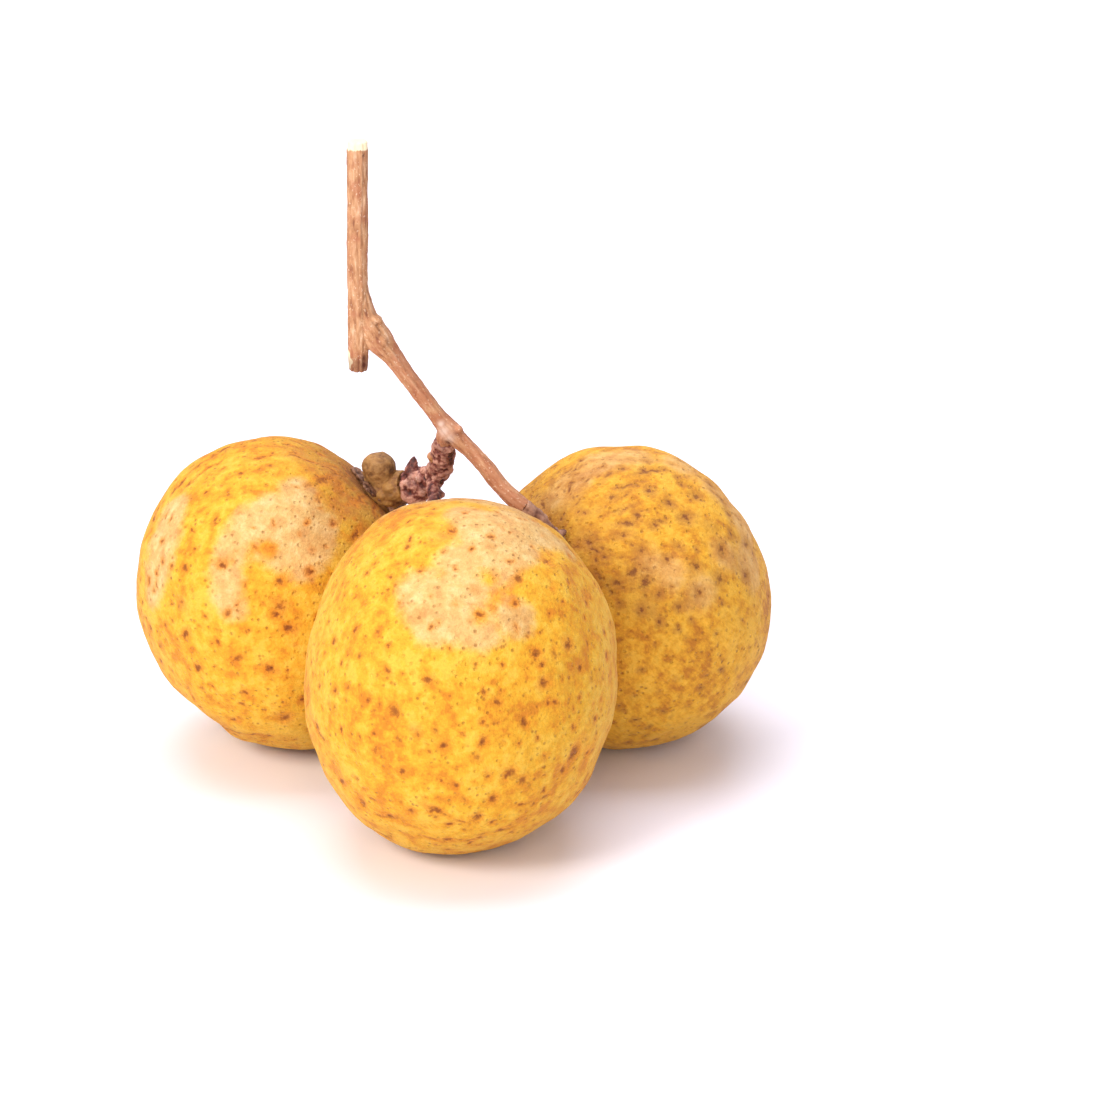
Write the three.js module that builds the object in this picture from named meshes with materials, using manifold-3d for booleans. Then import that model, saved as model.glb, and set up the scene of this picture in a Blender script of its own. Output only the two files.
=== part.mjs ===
// A bunch of three longans on one picked twig, lying on a level surface.
// Units are millimetres and +Z is up. The origin is on the surface, under the middle of the bunch.
import * as THREE from "three";
import { mergeVertices } from "three/addons/utils/BufferGeometryUtils.js";
import Module from "manifold-3d";

const wasm = await Module();
wasm.setup();

// Clearance between pieces that touch
const TOUCH_GAP = 0.25;

// Fruits: the middle, the half widths across, along and up the fruit's own axes, its roll in degrees,
// the direction from the middle to its stem end, and its own swells, with dents as negative heights.
// All three lean back by the same angle.
const FRUIT_LEAN = -21;
const FRUIT_DETAIL = 10;
const MEAN_RADIUS = 13.3;
const FRONT = {
  middle: [1.0, -10.8, 14.42],
  half: [13.0, 13.6, 14.8],
  roll: 6.7,
  stalk: [-0.15, 0.8, 0.58],
  seed: 1,
  swells: [
    { toward: [-0.5, -0.31, -0.81], height: 0.35, spread: 0.4 },
    { toward: [-0.41, 0.33, 0.85], height: 0.6, spread: 0.36 },
    { toward: [0.7, -0.25, -0.66], height: 0.3, spread: 0.3 },
    { toward: [0.26, -0.35, -0.9], height: -0.25, spread: 0.25 },
  ],
};
const LEFT = {
  middle: [-14.9, 11.0, 13.22],
  half: [12.25, 13.2, 13.7],
  roll: -24.4,
  stalk: [0.69, 0.16, 0.7],
  seed: 4,
  swells: [
    { toward: [-0.91, 0.15, 0.4], height: -0.35, spread: 0.35 },
    { toward: [-0.57, -0.29, -0.77], height: -0.6, spread: 0.3 },
    { toward: [0.26, 0.35, 0.9], height: 0.2, spread: 0.35 },
    { toward: [0.54, 0.3, 0.79], height: 0.3, spread: 0.2 },
  ],
};
const RIGHT = {
  middle: [14.95, 11.5, 12.72],
  half: [12.65, 13.0, 13.05],
  roll: 0,
  stalk: [-0.473, -0.608, 0.638],
  seed: 7,
  swells: [
    { toward: [0.86, 0.18, 0.47], height: -0.5, spread: 0.5 },
    { toward: [-0.22, 0.35, 0.91], height: 0.2, spread: 0.25 },
  ],
};

// Relief of the rind: sets of waves with their pitch and height, a flat shoulder and a small tip
const LUMPS = [
  { pitch: 12, height: 0.12, waves: 5 },
  { pitch: 5.5, height: 0.06, waves: 9 },
  { pitch: 3.6, height: 0.04, waves: 11 },
];
const SHOULDER = { height: -0.5, spread: 0.42 };
const TIP = { height: 0.25, spread: 0.25 };
const GOLDEN_ANGLE = Math.PI * (3 - Math.sqrt(5));

// Limbs of the twig: stations along each, as x, y, z and the limb's radius there
const TWIG = { sides: 14, step: 1.1 };
const STEM = [
  [-7.61, 5.5, 55.9, 0.87],
  [-7.67, 5.5, 50.7, 0.86],
  [-7.73, 5.5, 45.3, 0.87],
  [-7.74, 5.5, 40.3, 0.86],
  [-7.76, 5.5, 37.5, 0.84],
  [-7.76, 5.5, 35.7, 0.76],
];
const BRANCH = [
  [-7.53, 5.5, 44.1, 0.5],
  [-7.39, 5.5, 42.1, 0.72],
  [-7.05, 5.5, 40.5, 0.84],
  [-6.6, 5.5, 39.5, 1.05],
  [-5.91, 5.5, 38.27, 1.16],
  [-5.0, 5.5, 37.11, 0.92],
  [-4.04, 5.5, 35.68, 0.78],
  [-2.91, 5.5, 34.07, 0.71],
  [-1.87, 5.5, 32.64, 0.69],
  [-0.91, 5.5, 31.29, 0.74],
  [-0.06, 5.4, 30.25, 0.9],
  [0.78, 5.1, 29.46, 0.76],
  [1.76, 4.8, 28.58, 0.67],
  [3.03, 4.1, 27.39, 0.67],
  [4.15, 3.5, 26.07, 0.68],
  [5.3, 3.0, 25.05, 0.74],
  [6.3, 2.7, 24.35, 0.66],
];
const SIDE_LIMB = [
  [-0.31, 5.3, 30.56, 0.55],
  [-0.41, 5.5, 29.94, 0.78],
  [-0.54, 5.9, 29.1, 0.72],
];
const TWIG_SCARS = [
  { middle: [-6.12, 5.1, 40.35], half: [0.56, 0.7, 0.28], turn: [0, 25, 0] },
  { middle: [-5.62, 4.5, 38.55], half: [0.42, 0.34, 0.5], turn: [0, 30, 0] },
  { middle: [0.7, 5.05, 30.5], half: [0.42, 0.55, 0.36], turn: [0, 40, 0] },
];

// Limbs of the spur, the short scaly shoot that carries the left and the front fruit
const SPUR = { sides: 10, step: 0.6 };
const SPUR_SHOOT = [
  [-0.57, 6.05, 29.0, 0.72],
  [-0.65, 6.6, 28.2, 0.88],
  [-0.82, 7.8, 26.75, 0.94],
  [-1.12, 9.0, 25.35, 0.92],
  [-1.9, 10.0, 24.3, 1.02],
  [-2.85, 10.8, 23.45, 1.4],
  [-3.7, 11.2, 23.15, 1.3],
];
const SPUR_STALK = [
  [-1.7, 9.6, 24.5, 0.6],
  [-1.5, 7.8, 24.1, 0.6],
  [-1.5, 5.0, 23.4, 0.5],
  [-1.48, 3.0, 23.15, 0.5],
];
const SPUR_PEG = [
  [-3.35, 10.8, 24.1, 0.95],
  [-3.42, 10.75, 24.95, 0.62],
  [-3.25, 10.65, 26.0, 0.13],
];
const SPUR_LUMPS = [
  { middle: [-1.45, 7.6, 24.05], half: [0.48, 0.7, 0.5], turn: [0, 0, 0] },
  { middle: [-1.68, 7.4, 27.25], half: [0.42, 0.45, 0.45], turn: [0, 0, 0] },
];
const SPUR_SCALES = { rows: 7, perRow: 4, half: [0.62, 0.5, 0.24], from: 0.12, to: 0.9 };

// Stem ends of the fruits: necks and stalks as limbs, and calyxes of sepals set in a ring
const FOOT = { sides: 12, step: 0.6 };
const LEFT_NECK = [
  [-6.75, 12.85, 21.4, 1.95],
  [-6.2, 12.65, 21.95, 2.1],
  [-5.6, 12.3, 22.3, 1.95],
  [-4.9, 11.85, 22.6, 1.72],
  [-4.05, 11.4, 22.95, 1.4],
];
const LEFT_CALYX = {
  middle: [-6.44, 12.98, 21.82], reach: 2.6, height: 0.5, count: 5, half: [0.65, 0.8, 0.26], first: 100,
};
const FRUITLET = { middle: [-6.3, 12.0, 24.48], half: [1.48, 1.4, 1.4], turn: [0, 0, 0], detail: 2 };
const FRUITLET_FOOT = [
  [-6.25, 12.05, 24.2, 1.35],
  [-5.85, 12.2, 23.2, 1.4],
];
const RIGHT_STALK = [
  [6.58, 2.66, 24.15, 0.62],
  [7.33, 2.75, 23.5, 0.55],
  [8.1, 3.1, 22.4, 0.56],
  [9.1, 3.85, 21.0, 0.62],
];
const RIGHT_CALYX = {
  middle: [8.9, 3.66, 21.2], reach: 0.7, height: 0.4, count: 5, half: [0.5, 0.42, 0.24], first: 20,
};
const FRONT_STALK = [
  [-1.48, 2.65, 23.1, 0.53],
  [-1.35, 1.7, 22.9, 0.7],
  [-1.15, 0.2, 22.5, 1.15],
];
const FRONT_CALYX = {
  middle: [-1.15, 0.7, 22.75], reach: 1.3, height: 0.45, count: 5, half: [0.75, 0.6, 0.3], first: 55,
};
const SEPAL_DROOP = 14;

// Finishes, one for each colour of the bunch
const goldenRind = finish("#e3a634", 0.62);
const oliveRind = finish("#c9952e", 0.66);
const tanBark = finish("#b67c4f", 0.85);
const darkBark = finish("#5e3428", 0.8);
const oliveNeck = finish("#8d6a2b", 0.75);
const dryCalyx = finish("#5a4636", 0.85);
const brownFruitlet = finish("#7b5a26", 0.8);

function finish(colour, roughness) {
  return new THREE.MeshStandardMaterial({ color: new THREE.Color(colour), roughness, metalness: 0 });
}

// Turns a closed geometry into a solid that can be joined and cut, and back.
function solidOf(geometry) {
  geometry.deleteAttribute("normal");
  geometry.deleteAttribute("uv");
  const merged = mergeVertices(geometry);
  return new wasm.Manifold(new wasm.Mesh({
    numProp: 3,
    vertProperties: new Float32Array(merged.attributes.position.array),
    triVerts: new Uint32Array(merged.index.array),
  }));
}

function geometryOf(solid) {
  const mesh = solid.getMesh();
  const geometry = new THREE.BufferGeometry();
  geometry.setAttribute("position", new THREE.BufferAttribute(new Float32Array(mesh.vertProperties), 3));
  geometry.setIndex(new THREE.BufferAttribute(new Uint32Array(mesh.triVerts), 1));
  geometry.computeVertexNormals();
  return geometry;
}

function fuse(solids) {
  return solids.reduce((whole, solid) => whole.add(solid));
}

function cut(solid, tools) {
  return tools.reduce((rest, tool) => rest.subtract(tool), solid);
}

function eulerOf(degrees) {
  return new THREE.Euler(...degrees.map(THREE.MathUtils.degToRad), "XYZ");
}

// Height of the rind's relief in one direction: sine waves along directions spread by the golden angle.
function reliefAt(outward, seed) {
  let relief = 0;
  for (const { pitch, height, waves } of LUMPS) {
    for (let wave = 0; wave < waves; wave += 1) {
      const rise = 1 - (2 * wave + 1) / waves;
      const ring = Math.sqrt(1 - rise * rise);
      const turn = GOLDEN_ANGLE * (wave + seed);
      const along = ring * (outward.x * Math.cos(turn) + outward.y * Math.sin(turn)) + outward.z * rise;
      const phase = turn * (wave + 1);
      relief += (height / Math.sqrt(waves)) * Math.sin((2 * Math.PI * MEAN_RADIUS * along) / pitch + phase);
    }
  }
  return relief;
}

// A fruit's closed skin, grown outwards by a clearance: an ellipsoid with the relief, its swells,
// a flatter shoulder round its stem end and a small tip opposite.
function fruitSkin({ middle, half, roll, stalk, seed, swells }, growth) {
  const ball = new THREE.IcosahedronGeometry(1, FRUIT_DETAIL);
  const spots = ball.attributes.position;
  const tipEnd = stalk.map((part) => -part);
  const turn = eulerOf([FRUIT_LEAN, roll, 0]);
  const size = new THREE.Vector3(...half);
  const centre = new THREE.Vector3(...middle);
  const spot = new THREE.Vector3();
  const outward = new THREE.Vector3();
  for (let index = 0; index < spots.count; index += 1) {
    spot.fromBufferAttribute(spots, index).multiply(size).applyEuler(turn);
    outward.copy(spot).normalize();
    let height = growth + reliefAt(outward, seed);
    for (const swell of [...swells, { ...SHOULDER, toward: stalk }, { ...TIP, toward: tipEnd }]) {
      const angle = outward.angleTo(new THREE.Vector3(...swell.toward));
      height += swell.height * Math.exp(-((angle / swell.spread) ** 2));
    }
    spot.addScaledVector(outward, height).add(centre);
    spots.setXYZ(index, spot.x, spot.y, spot.z);
  }
  return solidOf(ball);
}

// The fruit with the small flat that it rests on.
function restingFruit(fruit) {
  const ground = new THREE.BoxGeometry(120, 120, 20);
  ground.translate(0, 0, -10);
  return fruitSkin(fruit, 0).subtract(solidOf(ground));
}

// A smooth path through a limb's stations, which also blends the limb's radius along it.
function pathOf(stations) {
  const curve = new THREE.CatmullRomCurve3(stations.map(([x, y, z]) => new THREE.Vector3(x, y, z)));
  const radii = new THREE.SplineCurve(stations.map(([, , , radius], index) => new THREE.Vector2(index, radius)));
  return { curve, radiusAt: (share) => radii.getPoint(curve.getUtoTmapping(share)).y };
}

// A round limb: a cylinder whose rings are carried along the path.
function limb(stations, { sides, step }, growth = 0) {
  const { curve, radiusAt } = pathOf(stations);
  const steps = Math.ceil(curve.getLength() / step);
  const frames = curve.computeFrenetFrames(steps);
  const tube = new THREE.CylinderGeometry(1, 1, 1, sides, steps);
  const spots = tube.attributes.position;
  for (let index = 0; index < spots.count; index += 1) {
    const ring = Math.round((0.5 - spots.getY(index)) * steps);
    const radius = radiusAt(ring / steps) + growth;
    const place = curve.getPointAt(ring / steps);
    place.addScaledVector(frames.normals[ring], spots.getX(index) * radius);
    place.addScaledVector(frames.binormals[ring], spots.getZ(index) * radius);
    spots.setXYZ(index, place.x, place.y, place.z);
  }
  return solidOf(tube);
}

// A small rounded lump: a faceted ball, stretched, turned and put in its place.
function lump({ middle, half, turn, detail = 1 }, growth = 0) {
  const ball = new THREE.IcosahedronGeometry(1, detail);
  ball.scale(...half.map((size) => size + growth));
  ball.applyQuaternion(new THREE.Quaternion().setFromEuler(eulerOf(turn)));
  ball.translate(...middle);
  return solidOf(ball);
}

// A dry calyx round a fruit's stem end: a low cushion with sepals that droop on the fruit's shoulder.
function calyx({ middle, reach, height, count, half, first }, { stalk }) {
  const axis = new THREE.Vector3(...stalk).normalize();
  const facing = new THREE.Quaternion().setFromUnitVectors(new THREE.Vector3(0, 0, 1), axis);
  const cushion = new THREE.SphereGeometry(1, 15, 6);
  cushion.rotateX(Math.PI / 2);
  cushion.scale(reach, reach, height);
  const parts = [cushion];
  for (let index = 0; index < count; index += 1) {
    const sepal = new THREE.SphereGeometry(1, 6, 4);
    sepal.scale(...half);
    sepal.rotateY(THREE.MathUtils.degToRad(SEPAL_DROOP));
    sepal.translate(reach, 0, 0);
    sepal.rotateZ(THREE.MathUtils.degToRad(first + (360 * index) / count));
    parts.push(sepal);
  }
  for (const part of parts) {
    part.applyQuaternion(facing);
    part.translate(...middle);
  }
  return fuse(parts.map(solidOf));
}

// Overlapping bud scales in rows round the spur, each row turned by the golden angle from the last.
function spurScales({ rows, perRow, half, from, to }) {
  const { curve, radiusAt } = pathOf(SPUR_SHOOT);
  const frames = curve.computeFrenetFrames(rows - 1);
  const scales = [];
  for (let row = 0; row < rows; row += 1) {
    const share = THREE.MathUtils.lerp(from, to, row / (rows - 1));
    const along = curve.getTangentAt(share);
    for (let index = 0; index < perRow; index += 1) {
      const turn = GOLDEN_ANGLE * row + (2 * Math.PI * index) / perRow;
      const outward = frames.normals[row].clone().multiplyScalar(Math.cos(turn));
      outward.addScaledVector(frames.binormals[row], Math.sin(turn)).projectOnPlane(along).normalize();
      const across = new THREE.Vector3().crossVectors(along, outward);
      const scale = new THREE.IcosahedronGeometry(1, 0);
      scale.scale(...half);
      scale.applyMatrix4(new THREE.Matrix4().makeBasis(across, along, outward));
      const place = curve.getPointAt(share).addScaledVector(outward, radiusAt(share));
      scale.translate(place.x, place.y, place.z);
      scales.push(solidOf(scale));
    }
  }
  return fuse(scales);
}

const bunch = new THREE.Group();

function addPiece(name, solid, material) {
  const piece = new THREE.Mesh(geometryOf(solid), material);
  piece.name = name;
  bunch.add(piece);
}

// Fruits
addPiece("front_fruit", restingFruit(FRONT), goldenRind);
addPiece("left_fruit", restingFruit(LEFT), goldenRind);
addPiece("right_fruit", restingFruit(RIGHT), oliveRind);
const frontRoom = fruitSkin(FRONT, TOUCH_GAP);
const leftRoom = fruitSkin(LEFT, TOUCH_GAP);
const rightRoom = fruitSkin(RIGHT, TOUCH_GAP);

// Twig: the upright cut stem, the branch that slants from its node and the side limb of the spur
const twigLimbs = [STEM, BRANCH, SIDE_LIMB].map((path) => limb(path, TWIG));
addPiece("fruiting_twig", fuse([...twigLimbs, ...TWIG_SCARS.map((scar) => lump(scar))]), tanBark);
const branchRoom = limb(BRANCH, TWIG, TOUCH_GAP);
const sideLimbRoom = limb(SIDE_LIMB, TWIG, TOUCH_GAP);

// Spur with its bud scales, buds, broken peg and the start of the front fruit's stalk
const spurLimbs = [SPUR_SHOOT, SPUR_STALK, SPUR_PEG].map((path) => limb(path, SPUR));
const spur = fuse([...spurLimbs, ...SPUR_LUMPS.map((bud) => lump(bud)), spurScales(SPUR_SCALES)]);
addPiece("scaly_spur", cut(spur, [sideLimbRoom, branchRoom]), darkBark);

// Stem end of the left fruit, with the undeveloped fruitlet beside it
addPiece("left_neck", cut(limb(LEFT_NECK, FOOT), [leftRoom]), oliveNeck);
const neckRoom = limb(LEFT_NECK, FOOT, TOUCH_GAP);
addPiece("fruitlet", cut(lump(FRUITLET).add(limb(FRUITLET_FOOT, FOOT)), [neckRoom, leftRoom]), brownFruitlet);
const fruitletRoom = lump(FRUITLET, TOUCH_GAP).add(limb(FRUITLET_FOOT, FOOT, TOUCH_GAP));
addPiece("left_calyx", cut(calyx(LEFT_CALYX, LEFT), [leftRoom, neckRoom, fruitletRoom]), dryCalyx);

// Stem ends of the right and the front fruit, each a dry stalk with its calyx
const rightEnd = limb(RIGHT_STALK, FOOT).add(calyx(RIGHT_CALYX, RIGHT));
addPiece("right_calyx", cut(rightEnd, [rightRoom, branchRoom]), dryCalyx);
const frontEnd = limb(FRONT_STALK, FOOT).add(calyx(FRONT_CALYX, FRONT));
addPiece("front_calyx", cut(frontEnd, [frontRoom, limb(SPUR_STALK, SPUR, TOUCH_GAP)]), dryCalyx);

export default bunch;
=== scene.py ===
"""The looks of a bunch of three longans on one picked twig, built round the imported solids.

Lengths are millimetres in the row frame, and become metres only where a mesh, lamp or camera is made.
Each piece is a surface worked out with numpy, and it stands for the solid of the same form.
"""

import logging
import math
from dataclasses import dataclass, field
from enum import Enum
from typing import Any, Sequence

import bpy
import numpy as np
from mathutils import Matrix, Vector


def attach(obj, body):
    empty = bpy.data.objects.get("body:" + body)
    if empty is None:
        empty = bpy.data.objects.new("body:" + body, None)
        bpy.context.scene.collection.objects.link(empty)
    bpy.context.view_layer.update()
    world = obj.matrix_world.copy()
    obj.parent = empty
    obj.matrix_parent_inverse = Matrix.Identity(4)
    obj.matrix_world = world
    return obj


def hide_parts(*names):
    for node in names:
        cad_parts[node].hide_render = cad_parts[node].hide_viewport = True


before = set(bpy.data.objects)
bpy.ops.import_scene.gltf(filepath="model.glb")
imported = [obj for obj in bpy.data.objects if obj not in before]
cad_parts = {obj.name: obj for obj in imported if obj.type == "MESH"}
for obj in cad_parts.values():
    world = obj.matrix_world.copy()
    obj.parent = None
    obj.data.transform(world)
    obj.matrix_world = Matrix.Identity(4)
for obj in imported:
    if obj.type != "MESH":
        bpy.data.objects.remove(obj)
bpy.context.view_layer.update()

LOG = logging.getLogger("longan_bunch")
Array = np.ndarray
Triple = tuple[float, float, float]
Station = tuple[float, float, float, float]

MM = 0.001
BODY = "root"
GOLDEN_ANGLE = math.pi * (3 - math.sqrt(5))

# The picture's frame, which the marks' places across and down it are read in
PICTURE_SIDE = 1100

# Form shared by the fruits, as in the solids
FRUIT_LEAN = -21.0
MEAN_RADIUS = 13.3
FACE_STEPS = 118


# Numbers and arrays


def linear(colour: str) -> tuple[float, float, float, float]:
    """Turns an sRGB hex colour to linear light.

    Args:
        colour: Six hex digits after a hash sign.

    Returns:
        Red, green, blue and an alpha of one.
    """
    parts = [int(colour[place : place + 2], 16) / 255 for place in (1, 3, 5)]
    light = [part / 12.92 if part <= 0.04045 else ((part + 0.055) / 1.055) ** 2.4 for part in parts]
    return light[0], light[1], light[2], 1.0


def unit(vectors: Array) -> Array:
    """Each vector divided by its length."""
    return vectors / np.linalg.norm(vectors, axis=-1, keepdims=True)


def smoothstep(low: float, high: float, values: Array) -> Array:
    """Zero below low, one above high, and 3t^2 - 2t^3 between them."""
    share = np.clip((values - low) / (high - low), 0, 1)
    return share * share * (3 - 2 * share)


def hill(distance: Array, spread: float) -> Array:
    """A bell of height one: exp(-(distance / spread)^2)."""
    return np.exp(-((distance / spread) ** 2))


def turned(degrees: Triple) -> Array:
    """A turn about X, then about the turned Y, then about the turned Z axis.

    Args:
        degrees: The three angles.

    Returns:
        The 3 by 3 matrix.
    """
    turn = Matrix.Identity(3)
    for angle, axis in zip(degrees, "XYZ"):
        turn = turn @ Matrix.Rotation(math.radians(angle), 3, axis)
    return np.array(turn)


def lattice_noise(points: Array, pitch: float, seed: int) -> Array:
    """Smooth noise from -1 to 1.

    Each corner of a cubic lattice has a value hashed from its whole coordinates, and a point blends
    the eight corners round it by smoothstep weights.

    Args:
        points: N by 3 places.
        pitch: The lattice's spacing, in the same unit.
        seed: Which pattern.

    Returns:
        N values.
    """
    scaled = points / pitch
    corner = np.floor(scaled).astype(np.int64)
    share = scaled - corner
    weight = share * share * (3 - 2 * share)
    total = np.zeros(len(points))
    for x in (0, 1):
        for y in (0, 1):
            for z in (0, 1):
                cell = corner + (x, y, z)
                mixed = cell[:, 0] * 73856093 ^ cell[:, 1] * 19349663 ^ cell[:, 2] * 83492791 ^ seed * 2654435
                mixed = (mixed ^ (mixed >> 13)) & 0x7FFFFFFF
                mixed = (mixed * 1274126177 + 12345) & 0x7FFFFFFF
                value = ((mixed >> 8) & 0xFFFF) / 32767.5 - 1
                part = np.where([x, y, z], weight, 1 - weight)
                total += value * part.prod(axis=1)
    return total


def layered_noise(points: Array, pitch: float, seed: int, layers: int = 3) -> Array:
    """Lattice noise in layers, each of half the pitch and half the height of the last."""
    return sum(lattice_noise(points, pitch / 2**k, seed + 31 * k) / 2**k for k in range(layers))


# Surfaces


@dataclass
class Surface:
    """A closed surface: its points in millimetres and its faces as rows of point numbers."""

    points: Array
    faces: list[Array]

    def six_volumes(self) -> float:
        """Adds up the triple products of the faces' triangles, fanned from each face's first point.

        Returns:
            Six times the enclosed volume, negative where the faces look inwards.
        """
        total = 0.0
        for rows in self.faces:
            for k in range(1, rows.shape[1] - 1):
                a, b, c = (self.points[rows[:, i]] for i in (0, k, k + 1))
                total += float(np.einsum("ij,ij->", a, np.cross(b, c)))
        return total

    def facing_out(self) -> "Surface":
        """Turns the faces round if they look inwards.

        Returns:
            The same surface, with its faces looking outwards.
        """
        if self.six_volumes() < 0:
            return Surface(self.points, [rows[:, ::-1] for rows in self.faces])
        return self


def ball(steps: int) -> Surface:
    """A unit sphere of six square grids, with no poles.

    A grid's two parameters run from -45 to 45 degrees, and a point is unit(1, tan a, tan b) on the
    first face, with the axes and signs exchanged on the others. Points on shared edges are merged.

    Args:
        steps: Squares along each side of a grid.

    Returns:
        The closed sphere.
    """
    angle = np.tan(np.linspace(-math.pi / 4, math.pi / 4, steps + 1))
    down, across = np.meshgrid(angle, angle, indexing="ij")
    front = np.stack([np.ones_like(down), across, down], -1).reshape(-1, 3)
    sides = [np.roll(front, shift, axis=1) * sign for shift in range(3) for sign in (1, -1)]
    points = unit(np.concatenate(sides))
    row, column = np.meshgrid(np.arange(steps), np.arange(steps), indexing="ij")
    first = (row * (steps + 1) + column).ravel()
    square = np.stack([first, first + 1, first + steps + 2, first + steps + 1], 1)
    count = (steps + 1) ** 2
    faces = [square + count * k if k % 2 == 0 else square[:, ::-1] + count * k for k in range(6)]
    _, kept, places = np.unique(np.round(points, 7), axis=0, return_index=True, return_inverse=True)
    return Surface(points[kept], [places.ravel()[np.concatenate(faces)]]).facing_out()


def spline(stations: Sequence[Station], count: int) -> Array:
    """A smooth curve through stations, as points at even steps along it.

    Centripetal Catmull-Rom: knots stand the square root of a chord apart, and each point is two
    stations' blend of blends by its knot value. The radius in the fourth column is blended with it.

    Args:
        stations: Each with its x, y, z and radius.
        count: How many points come back.

    Returns:
        count rows of x, y, z and radius.
    """
    given = np.array(stations, float)
    rows = np.vstack([2 * given[0] - given[1], given, 2 * given[-1] - given[-2]])
    knots = np.concatenate([[0], np.cumsum(np.sqrt(np.linalg.norm(np.diff(rows[:, :3], axis=0), axis=1)))])
    value = np.linspace(knots[1], knots[-2], 40 * len(given))
    index = np.clip(np.searchsorted(knots, value, side="right") - 1, 1, len(rows) - 3)
    level = [rows[index + k] for k in (-1, 0, 1, 2)]
    # Each round of blends runs between these knots, counted from the one before the point
    for spans in (((-1, 0), (0, 1), (1, 2)), ((-1, 1), (0, 2)), ((0, 1),)):
        ends = [(knots[index + low], knots[index + high]) for low, high in spans]
        shares = [((value - low) / (high - low))[:, None] for low, high in ends]
        level = [near * (1 - share) + far * share for near, far, share in zip(level, level[1:], shares)]
    curve = level[0]
    run = np.concatenate([[0], np.cumsum(np.linalg.norm(np.diff(curve[:, :3], axis=0), axis=1))])
    even = np.linspace(0, run[-1], count)
    return np.stack([np.interp(even, run, curve[:, k]) for k in range(4)], 1)


@dataclass(eq=False)
class Limb:
    """A round limb through stations, each a place with its radius.

    The rings across it are numbered from the reference direction. The step is the gap between them.
    """

    stations: Sequence[Station]
    reference: Triple = (0.0, 1.0, 0.0)
    step: float = 0.25
    sides: int = 28
    line: Array = field(init=False)
    along: Array = field(init=False)
    across: Array = field(init=False)
    over: Array = field(init=False)

    def __post_init__(self) -> None:
        """Works out the limb's centre line and the two directions across it at each point."""
        rough = spline(self.stations, 100)
        length = np.linalg.norm(np.diff(rough[:, :3], axis=0), axis=1).sum()
        self.line = spline(self.stations, max(6, round(length / self.step)))
        self.along = unit(np.gradient(self.line[:, :3], axis=0))
        self.across = unit(np.cross(np.array(self.reference), self.along))
        self.over = np.cross(self.along, self.across)

    def run(self) -> Array:
        """The length of the centre line up to each of its points."""
        steps = np.linalg.norm(np.diff(self.line[:, :3], axis=0), axis=1)
        return np.concatenate([[0], np.cumsum(steps)])

    def surface(self) -> Surface:
        """Carries rings of radius times (cos t across + sin t over) along the centre line.

        Returns:
            The closed tube, with two flat ends.
        """
        angle = np.linspace(0, 2 * math.pi, self.sides, endpoint=False)[None, :, None]
        ring = np.cos(angle) * self.across[:, None] + np.sin(angle) * self.over[:, None]
        points = (self.line[:, None, :3] + ring * self.line[:, 3, None, None]).reshape(-1, 3)
        count = len(self.line)
        row, column = np.meshgrid(np.arange(count - 1), np.arange(self.sides), indexing="ij")
        first = (row * self.sides + column).ravel()
        beside = (row * self.sides + (column + 1) % self.sides).ravel()
        squares = np.stack([first, beside, beside + self.sides, first + self.sides], 1)
        start = np.arange(self.sides)
        ends = [start[::-1][None], (start + (count - 1) * self.sides)[None]]
        return Surface(points, [squares, *ends]).facing_out()

    def nearest(self, points: Array) -> tuple[Array, Array]:
        """Finds the nearest point of the centre line to each of some points.

        All the squared distances come at once, as |p|^2 + |q|^2 - 2 p.q.

        Args:
            points: N by 3 places.

        Returns:
            The N indices on the line, and the N distances from it.
        """
        line = self.line[:, :3]
        squares = (points**2).sum(1)[:, None] + (line**2).sum(1)[None] - 2 * points @ line.T
        index = squares.argmin(axis=1)
        return index, np.sqrt(np.maximum(squares[np.arange(len(points)), index], 0))

    def unrolled(self, points: Array) -> Array:
        """Places on the limb as on a cylinder of its radius, with the length along it last.

        Args:
            points: N by 3 places near the limb.

        Returns:
            N rows of radius times the cosine and sine of the angle round the limb, and the length.
        """
        index, _ = self.nearest(points)
        offset = points - self.line[index, :3]
        angle = np.arctan2((offset * self.over[index]).sum(1), (offset * self.across[index]).sum(1))
        radius = self.line[index, 3]
        along = self.run()[index] + (offset * self.along[index]).sum(1)
        return np.stack([radius * np.cos(angle), radius * np.sin(angle), along], 1)


@dataclass(frozen=True)
class Lump:
    """A small rounded lump: its middle, its half sizes and its turns in degrees."""

    middle: Triple
    half: Triple
    turn: Triple = (0.0, 0.0, 0.0)
    steps: int = 7

    def surface(self) -> Surface:
        """A unit ball stretched by the half sizes, turned, and moved to the middle."""
        shape = ball(self.steps)
        return Surface(shape.points * self.half @ turned(self.turn).T + self.middle, shape.faces)


def new_object(name: str, surface: Surface, scale: float = MM) -> bpy.types.Object:
    """Puts a surface in a new mesh object at the origin.

    Args:
        name: The object's name.
        surface: Its points and faces.
        scale: Metres for each unit of the points.

    Returns:
        The object, linked to the scene and smooth shaded.
    """
    mesh = bpy.data.meshes.new(name)
    faces = [row for rows in surface.faces for row in rows.tolist()]
    mesh.from_pydata((surface.points * scale).tolist(), [], faces)
    mesh.shade_smooth()
    piece = bpy.data.objects.new(name, mesh)
    bpy.context.scene.collection.objects.link(piece)
    return piece


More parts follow.
